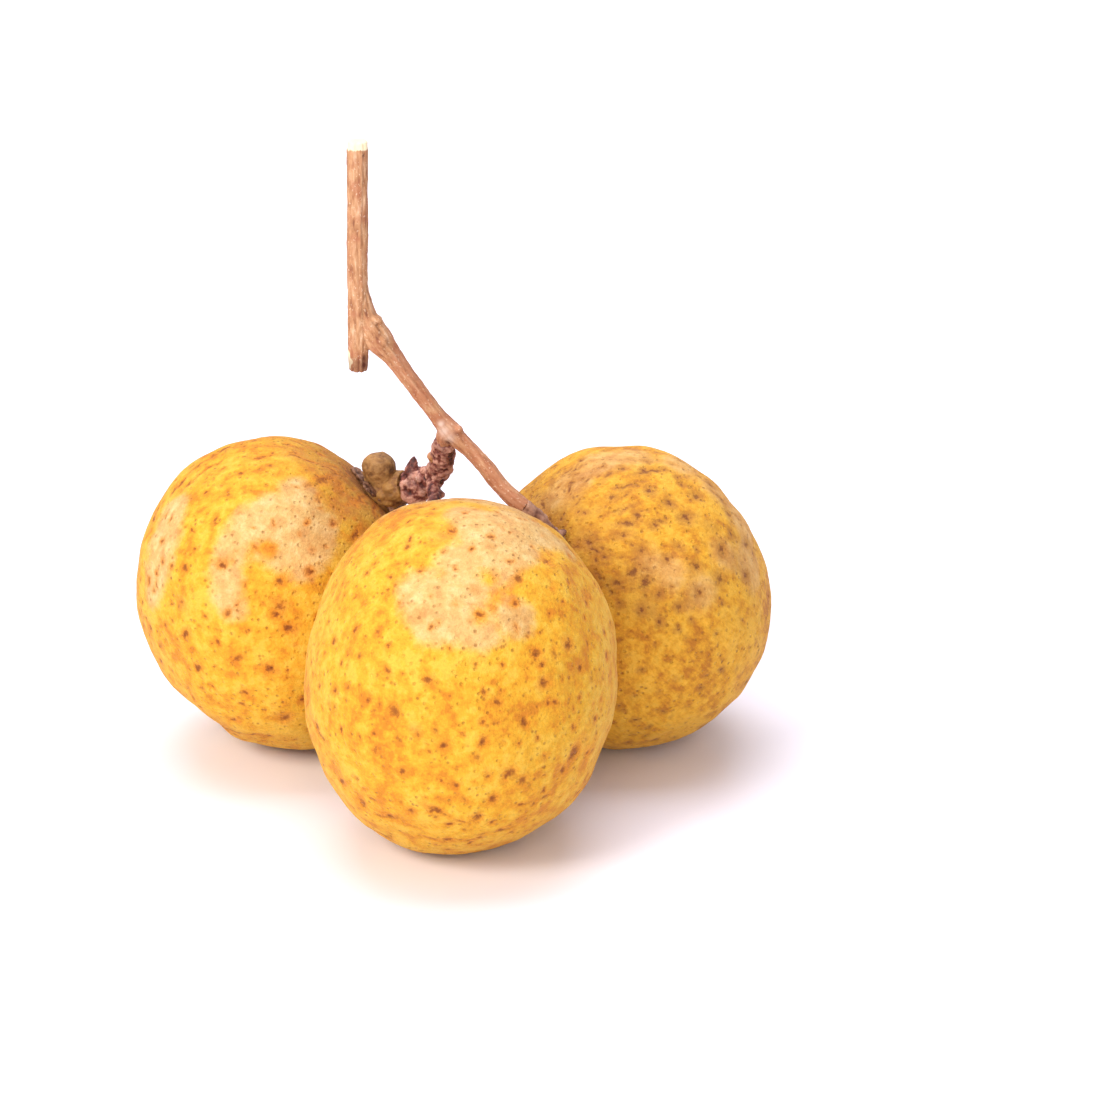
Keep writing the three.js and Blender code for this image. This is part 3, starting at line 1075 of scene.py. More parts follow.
@dataclass
class Longan:
    """One longan, from the dimensions that its solid has.

    The marks are places in the picture, across and down, with a size in millimetres: specks, spots
    of bloom with their cover, and brown stains. A streak is a row of cracks between two such places.
    The hidden side has its own patches of bloom. The stem stain says how brown the stem end is.
    """

    name: str
    node: str
    slot: str
    middle: Triple
    half: Triple
    roll: float
    stalk: Triple
    seed: int
    swells: Sequence[Swell]
    finish: Rind
    specks: Sequence[Triple]
    bloom: Sequence[tuple[Cover, float, float, float]]
    stains: Sequence[Triple]
    bloom_behind: int
    stem_stain: float = 1.0
    streaks: Sequence[tuple[float, float, float, float]] = ()
    stem_dashes: int = 70
    scattered: int = 560

    def relief(self, outward: Array) -> Array:
        """Adds up the lumps: for each set, sine waves along directions spread by the golden angle.

        Args:
            outward: N unit directions from the middle.

        Returns:
            N heights.
        """
        total = np.zeros(len(outward))
        for pitch, height, waves in LUMPS:
            for wave in range(waves):
                rise = 1 - (2 * wave + 1) / waves
                ring = math.sqrt(1 - rise * rise)
                turn = GOLDEN_ANGLE * (wave + self.seed)
                way = np.array((ring * math.cos(turn), ring * math.sin(turn), rise))
                phase = turn * (wave + 1)
                swing = np.sin(2 * math.pi * MEAN_RADIUS * (outward @ way) / pitch + phase)
                total += height / math.sqrt(waves) * swing
        return total

    def angle_from(self, outward: Array, toward: Sequence[float]) -> Array:
        """The angle of each direction from another one."""
        return np.arccos(np.clip(outward @ unit(np.array(toward, float)), -1, 1))

    def form(self, directions: Array) -> tuple[Array, Array]:
        """The fruit's smooth form.

        A unit direction is stretched by the half widths and turned. Its point then moves outwards by
        the lumps and by a bell for each swell, for the shoulder at the stem end and for the tip.

        Args:
            directions: N unit vectors on the fruit's own axes.

        Returns:
            The N places, and the N unit directions from the middle.
        """
        spot = directions * self.half @ turned((FRUIT_LEAN, self.roll, 0.0)).T
        outward = unit(spot)
        height = self.relief(outward)
        ends = (Swell(self.stalk, *SHOULDER), Swell(tuple(-k for k in self.stalk), *TIP))
        for swell in (*self.swells, *ends):
            height = height + swell.height * hill(self.angle_from(outward, swell.toward), swell.spread)
        return spot + outward * height[:, None] + self.middle, outward

    def seen_at(self, view: Viewpoint, marks: Array) -> Array:
        """Where the rays through marks of the picture meet the fruit.

        In the space where the fruit is a unit ball, a ray p + td meets it at the smaller root of
        |p + td| = 1, or passes nearest to it where there is no root.

        Args:
            view: The viewpoint.
            marks: N rows of pixels across and down.

        Returns:
            N places on the fruit's form.
        """
        turn = turned((FRUIT_LEAN, self.roll, 0.0))
        start = (view.eye() - self.middle) @ turn / self.half
        ways = view.rays(marks) @ turn / self.half
        a, b, c = (ways**2).sum(1), ways @ start, start @ start - 1
        root = (-b - np.sqrt(np.maximum(b * b - a * c, 0))) / a
        return self.form(unit(start + ways * root[:, None]))[0]

    def scatter(self, view: Viewpoint, named: Array) -> tuple[Array, Array]:
        """Small specks all over, at golden-angle steps with a seeded jitter.

        Args:
            view: The viewpoint, whose side of the fruit has its large specks named already.
            named: The places of the named specks.

        Returns:
            The places of the specks, and their radii.
        """
        draw = np.random.default_rng(self.seed)
        step = np.arange(self.scattered)
        rise = 1 - (2 * step + 1) / self.scattered
        turn = GOLDEN_ANGLE * step
        ring = np.sqrt(1 - rise**2)
        even = np.stack([ring * np.cos(turn), ring * np.sin(turn), rise], 1)
        places, outward = self.form(unit(even + draw.normal(0, SPECK_STRAY, even.shape)))
        radius = np.clip(draw.lognormal(*SPECK_LOGARITHM, self.scattered), *SPECK_BOUNDS)
        seen = (outward * unit(view.eye() - places)).sum(1) > 0.2
        gap = np.linalg.norm(places[:, None] - named[None], axis=2).min(axis=1)
        radius = np.where(seen, np.minimum(radius, SMALL_SPECK), radius)
        kept = ~seen | (gap > NAMED_GAP)
        return places[kept], radius[kept]

    def dashes(self, view: Viewpoint) -> tuple[Array, Array, Array]:
        """Short cracks: a broken row of them along each streak, and a ring of them at the stem end.

        A row steps from one end of its streak to the other. Round the stem end each one points to it.

        Args:
            view: The viewpoint that the streaks are seen from.

        Returns:
            The places of the cracks, the unit directions that they run in, and their radii.
        """
        draw = np.random.default_rng(self.seed + 70)
        places, ways = [], []
        for streak in self.streaks:
            ends = self.seen_at(view, np.array(streak).reshape(2, 2))
            gap = ends[1] - ends[0]
            count = max(2, round(float(np.linalg.norm(gap)) / CRACK_STEP))
            share = (np.arange(count) + draw.uniform(-0.3, 0.3, count)) / (count - 1)
            row = ends[0] + share[:, None] * gap + draw.normal(0, CRACK_STRAY, (count, 3))
            places.append(self.form(self.inward(row - np.array(self.middle)))[0])
            ways.append(np.repeat(unit(gap)[None], count, axis=0))
        axis = unit(np.array(self.stalk, float))
        turn = draw.uniform(0, 2 * math.pi, self.stem_dashes)
        lean = draw.uniform(*STEM_BAND, self.stem_dashes)
        side = unit(np.cross(axis, (0.0, 1.0, 0.1)))
        ring = np.cos(turn)[:, None] * side + np.sin(turn)[:, None] * np.cross(axis, side)
        out = np.cos(lean)[:, None] * axis + np.sin(lean)[:, None] * ring
        places.append(self.form(self.inward(out))[0])
        ways.append(unit(axis - out * (out @ axis)[:, None]))
        places, ways = np.concatenate(places), np.concatenate(ways)
        return places, ways, draw.uniform(*CRACK_RADII, len(places))

    def inward(self, outward: Array) -> Array:
        """The directions on the fruit's own axes whose points lie towards given ones."""
        return unit(outward @ turned((FRUIT_LEAN, self.roll, 0.0)) / self.half)

    def bloom_field(self, places: Array, view: Viewpoint) -> Array:
        """How deep a place is inside the patches of bloom, in millimetres, negative outside them.

        The patches are the soft union of round spots, s log(sum of exp(inside / s)), less the wiped
        ones. The hidden side has seeded ones.

        Args:
            places: N places on the fruit.
            view: The viewpoint.

        Returns:
            N depths.
        """
        draw = np.random.default_rng(self.seed + 50)
        marks = np.array([spot[1:] for spot in self.bloom])
        centres = self.seen_at(view, marks)
        total = {cover: np.full(len(places), math.exp(-4 / BLOOM_BLEND)) for cover in Cover}
        for (cover, _, _, size), centre in zip(self.bloom, centres):
            inside = size - np.linalg.norm(places - centre, axis=1)
            total[cover] += np.exp(inside / BLOOM_BLEND)
        back = draw.normal(0, 1, (self.bloom_behind, 3)) + HIDDEN_SIDE
        for centre in self.form(unit(back))[0]:
            for _ in range(HIDDEN_SPOTS):
                middle = centre + draw.normal(0, HIDDEN_SPREAD, 3)
                inside = draw.uniform(*HIDDEN_RADII) - np.linalg.norm(places - middle, axis=1)
                total[Cover.BLOOM] += np.exp(inside / BLOOM_BLEND)
        depth, wiped = (BLOOM_BLEND * np.log(total[cover]) for cover in (Cover.BLOOM, Cover.WIPED))
        return np.minimum(depth, -wiped)

    def pits(self, view: Viewpoint) -> Pits:
        """Gathers the named specks, the scattered ones and the cracks.

        Specks are drawn out a little in seeded ways, and cracks far along their own. The named specks
        are dark, and the others anything from faint to dark.

        Args:
            view: The viewpoint that the marks are seen from.

        Returns:
            All the pits of the rind.
        """
        marks = np.array(self.specks)
        named = self.seen_at(view, marks)
        more, radii = self.scatter(view, named)
        cracks, runs, widths = self.dashes(view)
        middles = np.concatenate([named, more, cracks])
        draw = np.random.default_rng(self.seed + 90)
        ways = np.concatenate([unit(draw.normal(0, 1, (len(named) + len(more), 3))), runs])
        squeezes = draw.uniform(0.0, 0.75, len(middles))
        squeezes[-len(cracks) :] = CRACK_SQUEEZE
        tones = draw.uniform(0.3, 1.0, len(middles))
        tones[: len(named)] = 0.7 + 0.3 * tones[: len(named)]
        return Pits(middles, np.concatenate([marks[:, 2], radii, widths]), ways, squeezes, tones)

    def pitted(self, places: Array, pits: Pits) -> tuple[Array, Array, Array]:
        """Works out how each place lies to the pits round it.

        The distance from a pit is |d|^2 less the squeeze times the square of d's part along the pit's
        way, all under a root and divided by its radius. A dimple is a bell of that distance.

        Args:
            places: N places on the rind, shaken.
            pits: The pits.

        Returns:
            The distance in radii from the nearest pit, that pit's tone, and the dimple's depth.
        """
        speck = np.full(len(places), 6.0)
        tone = np.zeros(len(places))
        dimple = np.zeros(len(places))
        for middle, size, way, squeeze, strength in zip(
            pits.middles, pits.sizes, pits.ways, pits.squeezes, pits.tones
        ):
            offset = places - middle
            share = np.sqrt((offset**2).sum(1) - squeeze * (offset @ way) ** 2) / size
            tone = np.where(share < speck, strength, tone)
            speck = np.minimum(speck, share)
            dimple = np.maximum(dimple, DIMPLE_DEPTH * size * hill(share, DIMPLE_SPREAD))
        return speck, tone, dimple

    def stained(self, places: Array, view: Viewpoint) -> Array:
        """Works out how brown the stains make each place: the highest bell of its distance from one.

        Args:
            places: N places on the rind, shaken.
            view: The viewpoint that the stains are seen from.

        Returns:
            N shares from 0 to 1.
        """
        marks = np.array(self.stains)
        stain = np.zeros(len(places))
        for middle, size in zip(self.seen_at(view, marks), marks[:, 2]):
            stain = np.maximum(stain, hill(np.linalg.norm(places - middle, axis=1), size))
        return stain

    def build(self, view: Viewpoint) -> None:
        """Makes the rind: the form, fine lumps, raised bloom, a dimple at each pit and the flat it rests on.

        Args:
            view: The viewpoint that the marks are seen from.
        """
        grid = ball(FACE_STEPS)
        places, outward = self.form(grid.points)
        shake = [layered_noise(places, SHAKE_PITCH, self.seed + k, 2) for k in (11, 12, 13)]
        shaken = places + SHAKE * np.stack(shake, 1)
        speck, tone, dimple = self.pitted(shaken, self.pits(view))
        stain = self.stained(shaken, view)
        bloom = self.bloom_field(places, view)
        # The crest noise raises fine lumps, and the rind paints their shading from it: lighter on the crests
        crest = layered_noise(places, 2.3, self.seed + 20, 4)
        rise = CREST_RISE * crest + BLOOM_RISE * smoothstep(-0.1, 0.2, bloom) - dimple
        places = places + outward * rise[:, None]
        places[:, 2] = np.maximum(places[:, 2], 0)
        piece = new_object(self.name, Surface(places, grid.faces))
        stem = self.stem_stain * hill(self.angle_from(outward, self.stalk), STEM_SPREAD)
        fields = {"speck": speck, "tone": tone, "crest": crest, "bloom": bloom, "stain": stain, "stem": stem}
        for name, values in fields.items():
            store(piece, name, values)
        fit(piece, self.node, self.finish.material(self.stalk))


FRONT = Longan(
    name="front_longan",
    node="front_fruit",
    slot="golden_rind",
    middle=(1.0, -10.8, 14.42),
    half=(13.0, 13.6, 14.8),
    roll=6.7,
    stalk=(-0.15, 0.8, 0.58),
    seed=1,
    swells=(
        Swell((-0.5, -0.31, -0.81), 0.35, 0.4),
        Swell((-0.41, 0.33, 0.85), 0.6, 0.36),
        Swell((0.7, -0.25, -0.66), 0.3, 0.3),
        Swell((0.26, -0.35, -0.9), -0.25, 0.25),
    ),
    finish=GOLDEN_RIND,
    specks=(
        (518, 578, 0.34), (545, 682, 0.38), (575, 754, 0.42), (567, 645, 0.36), (581, 667, 0.28),
        (509, 772, 0.36), (521, 781, 0.34), (476, 816, 0.38), (444, 746, 0.38), (394, 711, 0.4),
        (391, 818, 0.34), (429, 680, 0.34), (387, 673, 0.26), (368, 699, 0.3), (564, 770, 0.3),
        (498, 702, 0.3), (485, 691, 0.22), (416, 734, 0.26), (375, 750, 0.28), (403, 772, 0.26),
        (493, 799, 0.34), (431, 810, 0.28), (410, 811, 0.32), (458, 785, 0.26), (482, 741, 0.26),
        (524, 722, 0.3), (537, 654, 0.24), (514, 602, 0.2), (481, 616, 0.22), (451, 530, 0.2),
        (409, 547, 0.24), (411, 541, 0.18), (367, 575, 0.24), (391, 577, 0.22), (420, 572, 0.24),
        (356, 629, 0.24), (378, 632, 0.22), (333, 640, 0.24), (335, 690, 0.26), (342, 730, 0.24),
        (318, 725, 0.3), (342, 782, 0.3), (363, 804, 0.28), (546, 561, 0.26), (567, 584, 0.2),
        (562, 604, 0.2), (588, 602, 0.24), (606, 655, 0.24), (594, 720, 0.22), (587, 753, 0.24),
        (538, 738, 0.2), (450, 822, 0.24), (500, 828, 0.24), (532, 803, 0.22), (470, 842, 0.2),
    ),
    bloom=(
        (Cover.BLOOM, 489, 530, 3.0), (Cover.BLOOM, 524, 525, 2.8), (Cover.BLOOM, 548, 537, 1.5),
        (Cover.BLOOM, 466, 514, 1.7), (Cover.BLOOM, 467, 566, 2.5), (Cover.BLOOM, 433, 600, 2.5),
        (Cover.BLOOM, 412, 594, 1.7), (Cover.BLOOM, 432, 629, 1.3), (Cover.BLOOM, 460, 622, 1.9),
        (Cover.BLOOM, 512, 549, 2.2), (Cover.BLOOM, 500, 566, 1.7), (Cover.BLOOM, 513, 617, 1.5),
        (Cover.BLOOM, 483, 634, 1.2), (Cover.BLOOM, 456, 596, 2.0), (Cover.BLOOM, 500, 503, 3.0),
        (Cover.BLOOM, 404, 508, 1.1), (Cover.BLOOM, 424, 497, 1.4), (Cover.BLOOM, 450, 493, 1.7),
        (Cover.BLOOM, 566, 549, 1.3), (Cover.BLOOM, 388, 522, 0.5),
        (Cover.WIPED, 489, 579, 0.85), (Cover.WIPED, 482, 615, 0.8), (Cover.WIPED, 514, 601, 0.5),
    ),
    stains=(
        (442, 536, 0.9), (473, 590, 0.7), (492, 546, 0.6), (520, 612, 0.8), (416, 617, 0.7), (415, 728, 0.5),
    ),
    bloom_behind=4,
    streaks=(
        (314, 721, 322, 733), (520, 803, 541, 797), (486, 832, 507, 826), (431, 808, 458, 819),
        (425, 838, 470, 838), (380, 817, 398, 820), (508, 771, 524, 783), (577, 790, 594, 768),
    ),
    stem_dashes=40,
)
LEFT = Longan(
    name="left_longan",
    node="left_fruit",
    slot="golden_rind",
    middle=(-14.9, 11.0, 13.22),
    half=(12.25, 13.2, 13.7),
    roll=-24.4,
    stalk=(0.69, 0.16, 0.7),
    seed=4,
    swells=(
        Swell((-0.91, 0.15, 0.4), -0.35, 0.35),
        Swell((-0.57, -0.29, -0.77), -0.6, 0.3),
        Swell((0.26, 0.35, 0.9), 0.2, 0.35),
        Swell((0.54, 0.3, 0.79), 0.3, 0.2),
    ),
    finish=GOLDEN_RIND,
    specks=(
        (185, 568, 0.32), (289, 628, 0.4), (284, 718, 0.46), (270, 670, 0.42), (197, 668, 0.3),
        (238, 658, 0.28), (218, 644, 0.22), (281, 582, 0.32), (310, 571, 0.27), (276, 614, 0.34),
        (228, 613, 0.27), (222, 565, 0.28), (245, 695, 0.28), (211, 645, 0.18), (177, 641, 0.2),
        (150, 628, 0.26), (307, 522, 0.2), (333, 522, 0.22), (354, 538, 0.24), (174, 566, 0.2),
        (162, 562, 0.2), (192, 530, 0.2), (205, 618, 0.2), (246, 631, 0.18), (256, 668, 0.16),
        (185, 635, 0.3), (160, 646, 0.26), (198, 549, 0.18), (280, 604, 0.26), (211, 687, 0.2),
        (139, 612, 0.24), (170, 672, 0.2), (232, 720, 0.24), (268, 738, 0.2), (302, 700, 0.22),
        (242, 473, 0.2), (269, 466, 0.18), (205, 493, 0.18),
    ),
    bloom=(
        (Cover.BLOOM, 173, 510, 1.7), (Cover.BLOOM, 162, 536, 2.3), (Cover.BLOOM, 158, 566, 2.2),
        (Cover.BLOOM, 152, 592, 1.4), (Cover.BLOOM, 297, 489, 1.6), (Cover.BLOOM, 275, 511, 2.0),
        (Cover.BLOOM, 301, 517, 2.3), (Cover.BLOOM, 250, 528, 2.0), (Cover.BLOOM, 280, 545, 2.2),
        (Cover.BLOOM, 312, 545, 2.2), (Cover.BLOOM, 233, 549, 1.6), (Cover.BLOOM, 301, 570, 1.1),
        (Cover.BLOOM, 224, 596, 1.35), (Cover.BLOOM, 226, 577, 1.3), (Cover.BLOOM, 235, 609, 0.7),
        (Cover.BLOOM, 324, 525, 1.5), (Cover.WIPED, 267, 551, 0.6), (Cover.WIPED, 230, 562, 0.5),
    ),
    stains=(
        (280, 604, 0.7), (182, 602, 0.8), (330, 540, 1.4), (352, 505, 2.2), (267, 553, 0.5),
        (330, 475, 1.6), (368, 545, 1.6), (300, 455, 1.0),
    ),
    bloom_behind=4,
    streaks=(
        (186, 483, 216, 462), (216, 462, 268, 438), (172, 490, 240, 446), (222, 453, 272, 441),
        (274, 440, 306, 447), (260, 457, 320, 463), (320, 463, 338, 473), (312, 485, 350, 475),
        (206, 722, 250, 735),
    ),
    stem_dashes=60,
)
RIGHT = Longan(
    name="right_longan",
    node="right_fruit",
    slot="olive_rind",
    middle=(14.95, 11.5, 12.72),
    half=(12.65, 13.0, 13.05),
    roll=0.0,
    stalk=(-0.473, -0.608, 0.638),
    seed=7,
    swells=(Swell((0.86, 0.18, 0.47), -0.5, 0.5), Swell((-0.22, 0.35, 0.91), 0.2, 0.25)),
    finish=OLIVE_RIND,
    specks=(
        (650, 490, 0.36), (670, 502, 0.4), (688, 517, 0.48), (698, 495, 0.4), (654, 524, 0.3),
        (622, 533, 0.3), (640, 550, 0.38), (634, 572, 0.44), (618, 582, 0.4), (646, 584, 0.4),
        (696, 567, 0.44), (719, 579, 0.44), (722, 549, 0.42), (747, 575, 0.4), (731, 533, 0.32),
        (730, 513, 0.34), (680, 547, 0.26), (698, 550, 0.22), (669, 558, 0.3), (660, 594, 0.3),
        (647, 460, 0.3), (623, 468, 0.26), (645, 470, 0.3), (613, 496, 0.3), (637, 516, 0.26),
        (722, 499, 0.32), (748, 543, 0.34), (757, 553, 0.3), (711, 484, 0.3), (682, 482, 0.3),
        (587, 539, 0.4), (559, 514, 0.3), (607, 554, 0.26), (594, 558, 0.3), (699, 592, 0.32),
        (678, 606, 0.3), (557, 485, 0.18), (570, 484, 0.18), (582, 460, 0.28), (604, 452, 0.26),
        (566, 470, 0.24), (640, 610, 0.3), (660, 622, 0.3), (620, 604, 0.3),
    ),
    bloom=(
        (Cover.BLOOM, 600, 462, 2.2), (Cover.BLOOM, 630, 456, 2.0), (Cover.BLOOM, 570, 480, 1.9),
        (Cover.BLOOM, 552, 496, 1.8), (Cover.BLOOM, 538, 508, 1.2),
        (Cover.BLOOM, 672, 575, 1.5), (Cover.BLOOM, 700, 590, 1.6), (Cover.BLOOM, 650, 565, 1.0),
        (Cover.BLOOM, 680, 465, 1.8), (Cover.BLOOM, 715, 490, 1.7), (Cover.BLOOM, 742, 520, 2.2),
        (Cover.BLOOM, 752, 565, 2.2), (Cover.BLOOM, 725, 555, 1.4), (Cover.WIPED, 646, 505, 1.6),
    ),
    stains=(
        (711, 526, 0.9), (587, 539, 1.0), (640, 550, 0.7), (690, 600, 1.2), (650, 606, 1.4), (735, 560, 1.2),
    ),
    bloom_behind=3,
    stem_stain=0.35,
    streaks=(
        (617, 587, 624, 589), (632, 590, 660, 585), (637, 556, 653, 552), (604, 560, 618, 556),
        (642, 471, 655, 469),
    ),
    stem_dashes=110,
)


# Twig


@dataclass
class FruitingTwig:
    """The picked twig: a cut stem with its stub, the branch from its node and the spur's side limb.

    The limbs stand about the plane of the axis depth, and the bark face is as far in front of it as
    the marks lie. Ridges run along the limbs: each set has its height in millimetres, how many go
    round, and how far, how fast and from where they sway. The top is bare for the length of cut bark,
    and the stub is bare past the torn side, near the torn height. Bands are heights from none to full:
    of the dark stub above its foot, and of the branch's blush.
    """

    limbs: Sequence[Limb] = (
        Limb((
            (-7.61, 5.5, 55.9, 0.87), (-7.67, 5.5, 50.7, 0.86), (-7.73, 5.5, 45.3, 0.87),
            (-7.74, 5.5, 40.3, 0.86), (-7.76, 5.5, 37.5, 0.84), (-7.76, 5.5, 35.7, 0.76),
        )),
        Limb((
            (-7.53, 5.5, 44.1, 0.5), (-7.39, 5.5, 42.1, 0.72), (-7.05, 5.5, 40.5, 0.84),
            (-6.6, 5.5, 39.5, 1.05), (-5.91, 5.5, 38.27, 1.16), (-5.0, 5.5, 37.11, 0.92),
            (-4.04, 5.5, 35.68, 0.78), (-2.91, 5.5, 34.07, 0.71), (-1.87, 5.5, 32.64, 0.69),
            (-0.91, 5.5, 31.29, 0.74), (-0.06, 5.4, 30.25, 0.9), (0.78, 5.1, 29.46, 0.76),
            (1.76, 4.8, 28.58, 0.67), (3.03, 4.1, 27.39, 0.67), (4.15, 3.5, 26.07, 0.68),
            (5.3, 3.0, 25.05, 0.74), (6.3, 2.7, 24.35, 0.66),
        )),
        Limb(((-0.31, 5.3, 30.56, 0.55), (-0.41, 5.5, 29.94, 0.78), (-0.54, 5.9, 29.1, 0.72))),
    )
    scars: Sequence[Lump] = (
        Lump((-6.12, 5.1, 40.35), (0.56, 0.7, 0.28), (0.0, 25.0, 0.0)),
        Lump((-5.62, 4.5, 38.55), (0.42, 0.34, 0.5), (0.0, 30.0, 0.0)),
        Lump((0.7, 5.05, 30.5), (0.42, 0.55, 0.36), (0.0, 40.0, 0.0)),
    )
    cell: float = 0.095
    top: float = 55.9
    foot: float = 35.7
    axis_depth: float = 5.5
    bark_face: float = 0.7
    ridges: Sequence[tuple[float, float, float, float, float]] = (
        (0.028, 9, 0.8, 0.7, 0), (0.02, 15, 1.1, 0.45, 1),
    )
    fibre_squeeze: float = 0.22
    cut_bark: float = 0.62
    torn_side: float = -8.2
    torn_height: float = 36.6
    stub_band: tuple[float, float] = (1.6, 0.9)
    blush_band: tuple[float, float] = (40.0, 36.5)
    # Marks in the picture, across and down, with a size: scar lines, dark spots and painted shade, and pale
    # bark
    dark_marks: Sequence[Triple] = (
        (364, 156, 0.14), (372, 323, 0.16), (377, 325, 0.13), (383, 338, 0.2), (386, 343, 0.12),
        # The two at 366 across are painted shade, on the stub's right side under the branch
        (456, 434, 0.3), (366, 358, 0.3), (366, 366, 0.3), (536, 518, 0.4), (548, 524, 0.7),
        (448, 443, 0.25), (455, 441, 0.2), (500, 502, 0.3), (478, 470, 0.2), (466, 455, 0.22),
    )
    pale_marks: Sequence[Triple] = ((444, 431, 0.5), (450, 437, 0.45), (441, 424, 0.3), (531, 504, 0.6))

    def build(self, view: Viewpoint) -> None:
        """Grows the limbs together, then raises ridges along the bark and fine lumps on it.

        A ridge's height is a sine of the angle round the limb, and its angle sways as it runs along.

        Args:
            view: The viewpoint that the marks are seen from.
        """
        parts = [limb.surface() for limb in self.limbs] + [scar.surface() for scar in self.scars]
        skin, edges = grown_together(parts, self.cell)
        skin.points = relaxed(skin.points, edges, 3)
        outward = outward_of(skin)
        nearest = [(limb, *limb.nearest(skin.points)) for limb in self.limbs]
        owner = np.stack([gap - limb.line[index, 3] for limb, index, gap in nearest]).argmin(axis=0)
        fibre = np.zeros_like(skin.points)
        for number, limb in enumerate(self.limbs):
            mine = owner == number
            fibre[mine] = limb.unrolled(skin.points[mine]) + (0, 0, 40 * number)
        angle = np.arctan2(fibre[:, 1], fibre[:, 0])
        height = sum(
            tall * np.sin(count * angle + sway * np.sin(rate * fibre[:, 2] + start))
            for tall, count, sway, rate, start in self.ridges
        )
        fibre[:, 2] *= self.fibre_squeeze
        bark = 0.05 * layered_noise(fibre, 0.5, 3, 2) + 0.03 * lattice_noise(skin.points, 0.35, 8)
        # Bark ends in a ragged rim below the cut, and is torn off the left of the stub
        across, rise = skin.points[:, 0], skin.points[:, 2]
        bare_top = rise - (self.top - self.cut_bark) + 0.16 * lattice_noise(skin.points, 0.5, 5)
        bare_foot = (self.torn_side - across) * 1.5 - np.abs(rise - self.torn_height) * 0.6
        scar = self.marked(view, skin.points, self.dark_marks)
        pale = self.marked(view, skin.points, self.pale_marks)
        height = height + bark - 0.05 * smoothstep(-0.02, 0.1, bare_top) - 0.06 * scar
        stub = smoothstep(*self.stub_band, rise - self.foot) * (owner == 0)
        skin.points = skin.points + outward * height[:, None]
        piece = new_object("twig_bark", skin)
        store(piece, "fibre", fibre)
        store(piece, "bare", np.clip(np.maximum(bare_top, bare_foot), -1, 1))
        # The scar field also carries painted shade, from the marks on the stub's right side
        store(piece, "scar", np.clip(scar * 0.9 + 0.5 * stub, 0, 1))
        store(piece, "pale", 0.75 * pale)
        store(piece, "blush", (owner != 0) * smoothstep(*self.blush_band, skin.points[:, 2]))
        fit(piece, "fruiting_twig", TWIG_BARK.material())

    def marked(self, view: Viewpoint, places: Array, marks: Sequence[Triple]) -> Array:
        """Works out how strongly marks lie on each place: the highest bell of its distance from one.

        Args:
            view: The viewpoint that the marks are seen from.
            places: N places on the bark.
            marks: The marks, whose middles lie on the bark's near face.

        Returns:
            N shares from 0 to 1.
        """
        middles = view.at_depth(np.array(marks), self.axis_depth - self.bark_face)
        strength = np.zeros(len(places))
        for middle, (_, _, size) in zip(middles, marks):
            strength = np.maximum(strength, hill(np.linalg.norm(places - middle, axis=1), size))
        return strength


# Spur


